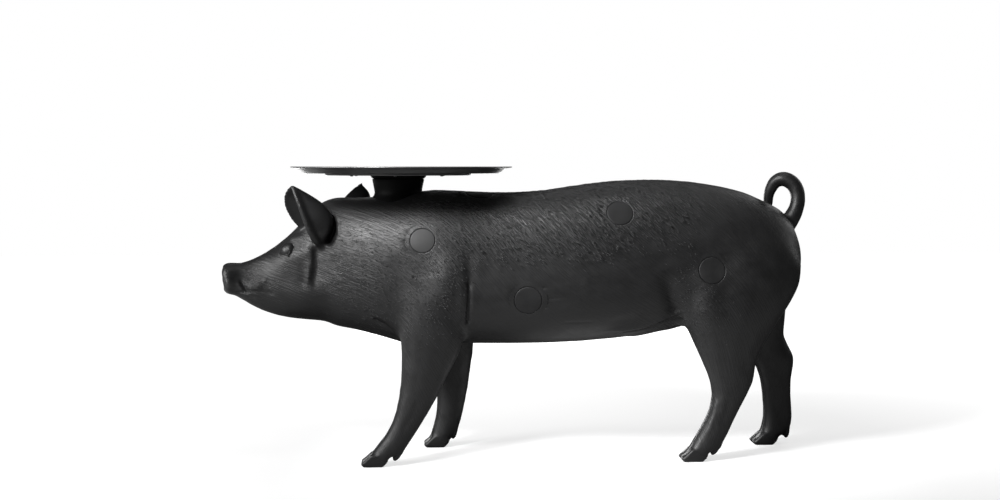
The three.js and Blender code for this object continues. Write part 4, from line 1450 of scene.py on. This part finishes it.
def makeCoat(skin, amount):
    rng = np.random.default_rng(coatValues["seed"])
    mesh = skin.data
    mesh.calc_loop_triangles()
    corners = np.empty(len(mesh.loop_triangles) * 3, np.int32)
    mesh.loop_triangles.foreach_get("vertices", corners)
    corners = corners.reshape(-1, 3)
    points, normals = readVectors(mesh), readVectors(mesh, "normal")
    a, b, c = (points[corners[:, k]] for k in range(3))
    area = 0.5 * np.linalg.norm(np.cross(b - a, c - a), axis=1)
    middle = (a + b + c) / 3
    size = lieAt(middle)
    cover = amount[corners].mean(1) * coatValues["cover"] * ease(size[:, 3], *coatValues["coverFrom"])
    wanted = cover * area / (0.5 * size[:, 1] * size[:, 2] * mm * mm)
    total = np.cumsum(wanted)
    count = int(total[-1])
    picked = np.searchsorted(total, rng.random(count) * total[-1])
    share = rng.random((count, 2))
    share = np.where(share.sum(1, keepdims=True) > 1, 1 - share, share)
    weights = np.column_stack([1 - share.sum(1), share])
    roots = np.einsum("nk,nkd->nd", weights, points[corners[picked]])
    up = unit(np.einsum("nk,nkd->nd", weights, normals[corners[picked]]))
    values = lieAt(roots)
    angle = np.radians(values[:, 0] + rng.normal(0, coatValues["jitter"], count))
    along = np.column_stack([np.cos(angle), np.zeros(count), -np.sin(angle)])
    along[:, 1] += rng.normal(0, coatValues["sway"], count)
    along = unit(along - up * np.einsum("nd,nd->n", along, up)[:, None])
    side = np.cross(up, along)
    spread = rng.uniform(1 - coatValues["spread"], 1 + coatValues["spread"], (count, 2))
    length, width = values[:, 1] * spread[:, 0] * mm, values[:, 2] * spread[:, 1] * mm
    flat, full = coatValues["height"]
    height = width * (flat + (full - flat) * values[:, 3] ** 2)
    clear = np.ones(count, bool)
    for name in discNames:
        # tufts round a disc shorten towards its edge
        _, radius, reach, level = roundDisc(name, roots)
        room = np.where(level, reach - (discValues["groove"] + 0.01) * radius, 1)
        clear &= room > coatValues["room"] * mm
        length = np.minimum(length, np.maximum(2 * room, mm))
    regions = np.where(clear, regionOf(roots), "")
    made = 0
    for region in sorted(set(regions) - {""}):
        mine = regions == region
        local = tuftPoints[None] * np.stack([length, width, height], 1)[mine][:, None]
        verts = roots[mine][:, None] + along[mine][:, None] * local[..., :1]
        verts += side[mine][:, None] * local[..., 1:2]
        verts += up[mine][:, None] * (local[..., 2:] - coatValues["sink"] * mm)
        faces = tuftFaces[None] + (np.arange(mine.sum()) * len(tuftPoints))[:, None, None]
        places = unwrapped(roots[mine], region)[:, None] + tuftPoints[None, :, :2] * coatValues["patch"]
        made += addTufts(region, verts.reshape(-1, 3), faces.reshape(-1, 3), places.reshape(-1, 2))
    print("coat tufts", made)


def addTufts(name, verts, faces, places):
    mesh = bpy.data.meshes.new(name)
    mesh.vertices.add(len(verts))
    mesh.vertices.foreach_set("co", verts.astype(np.float32).ravel())
    mesh.loops.add(faces.size)
    mesh.loops.foreach_set("vertex_index", faces.astype(np.int32).ravel())
    mesh.polygons.add(len(faces))
    mesh.polygons.foreach_set("loop_start", np.arange(0, faces.size, 3, dtype=np.int32))
    mesh.update(calc_edges=True)
    spots = mesh.uv_layers.new(name="OFBake")
    spots.data.foreach_set("uv", places[faces.ravel()].astype(np.float32).ravel())
    finishPiece(newObject(name, mesh), hideMaterial, "hide")
    print(name, len(faces))
    return len(faces) // len(tuftFaces)


grainGroup = makeGrainGroup()
hairGroup = makeHairGroup()
hideMaterial = makeHideMaterial()
smoothMaterial, shadedSmoothMaterial, hornMaterial, eyeMaterial, steelMaterial = (
    resinMaterial(name)[0] for name in ("smoothResin", "dullResin", "horn", "eye", "steel"))
trayMaterial = makeTrayMaterial()
print("materials", len(bpy.data.materials))

makeCamera()
makeFloor()
makeLights()
print("camera, floor and lights are set")

skin, eyeMiddles, bareForms = makeSkin()
flow = flowSheets()
discNames = nodesNamed("disc_")
hairAmount = markHair(skin, bareForms, eyeMiddles)
skin.data.shade_smooth()
finishPiece(skin, hideMaterial, "hide", *nodesNamed(*bodyStarts, "ear_", "tail_"))
print("skin painted")

for side, sign in sides:
    makeEye(f"eye_{side}", sign, eyeMiddles[side])
for foot in feet:
    makeHoof(skin, foot)
    makeDewclaw(foot)
print("eyes and claws")
skinTree = treeOf(skin)
for name in discNames:
    makeDisc(name, skinTree)
# the flange and pedestal take the darker copy of the smooth resin, which is painted shade
for name, material in (("tray", trayMaterial), ("tray_plate", trayMaterial), ("flange", shadedSmoothMaterial),
                       ("pedestal", shadedSmoothMaterial)):
    makeTurned(name, material)
makeScrews()
print("discs, tray and screws")
makeCoat(skin, hairAmount)
sinkUnderDiscs(skin)
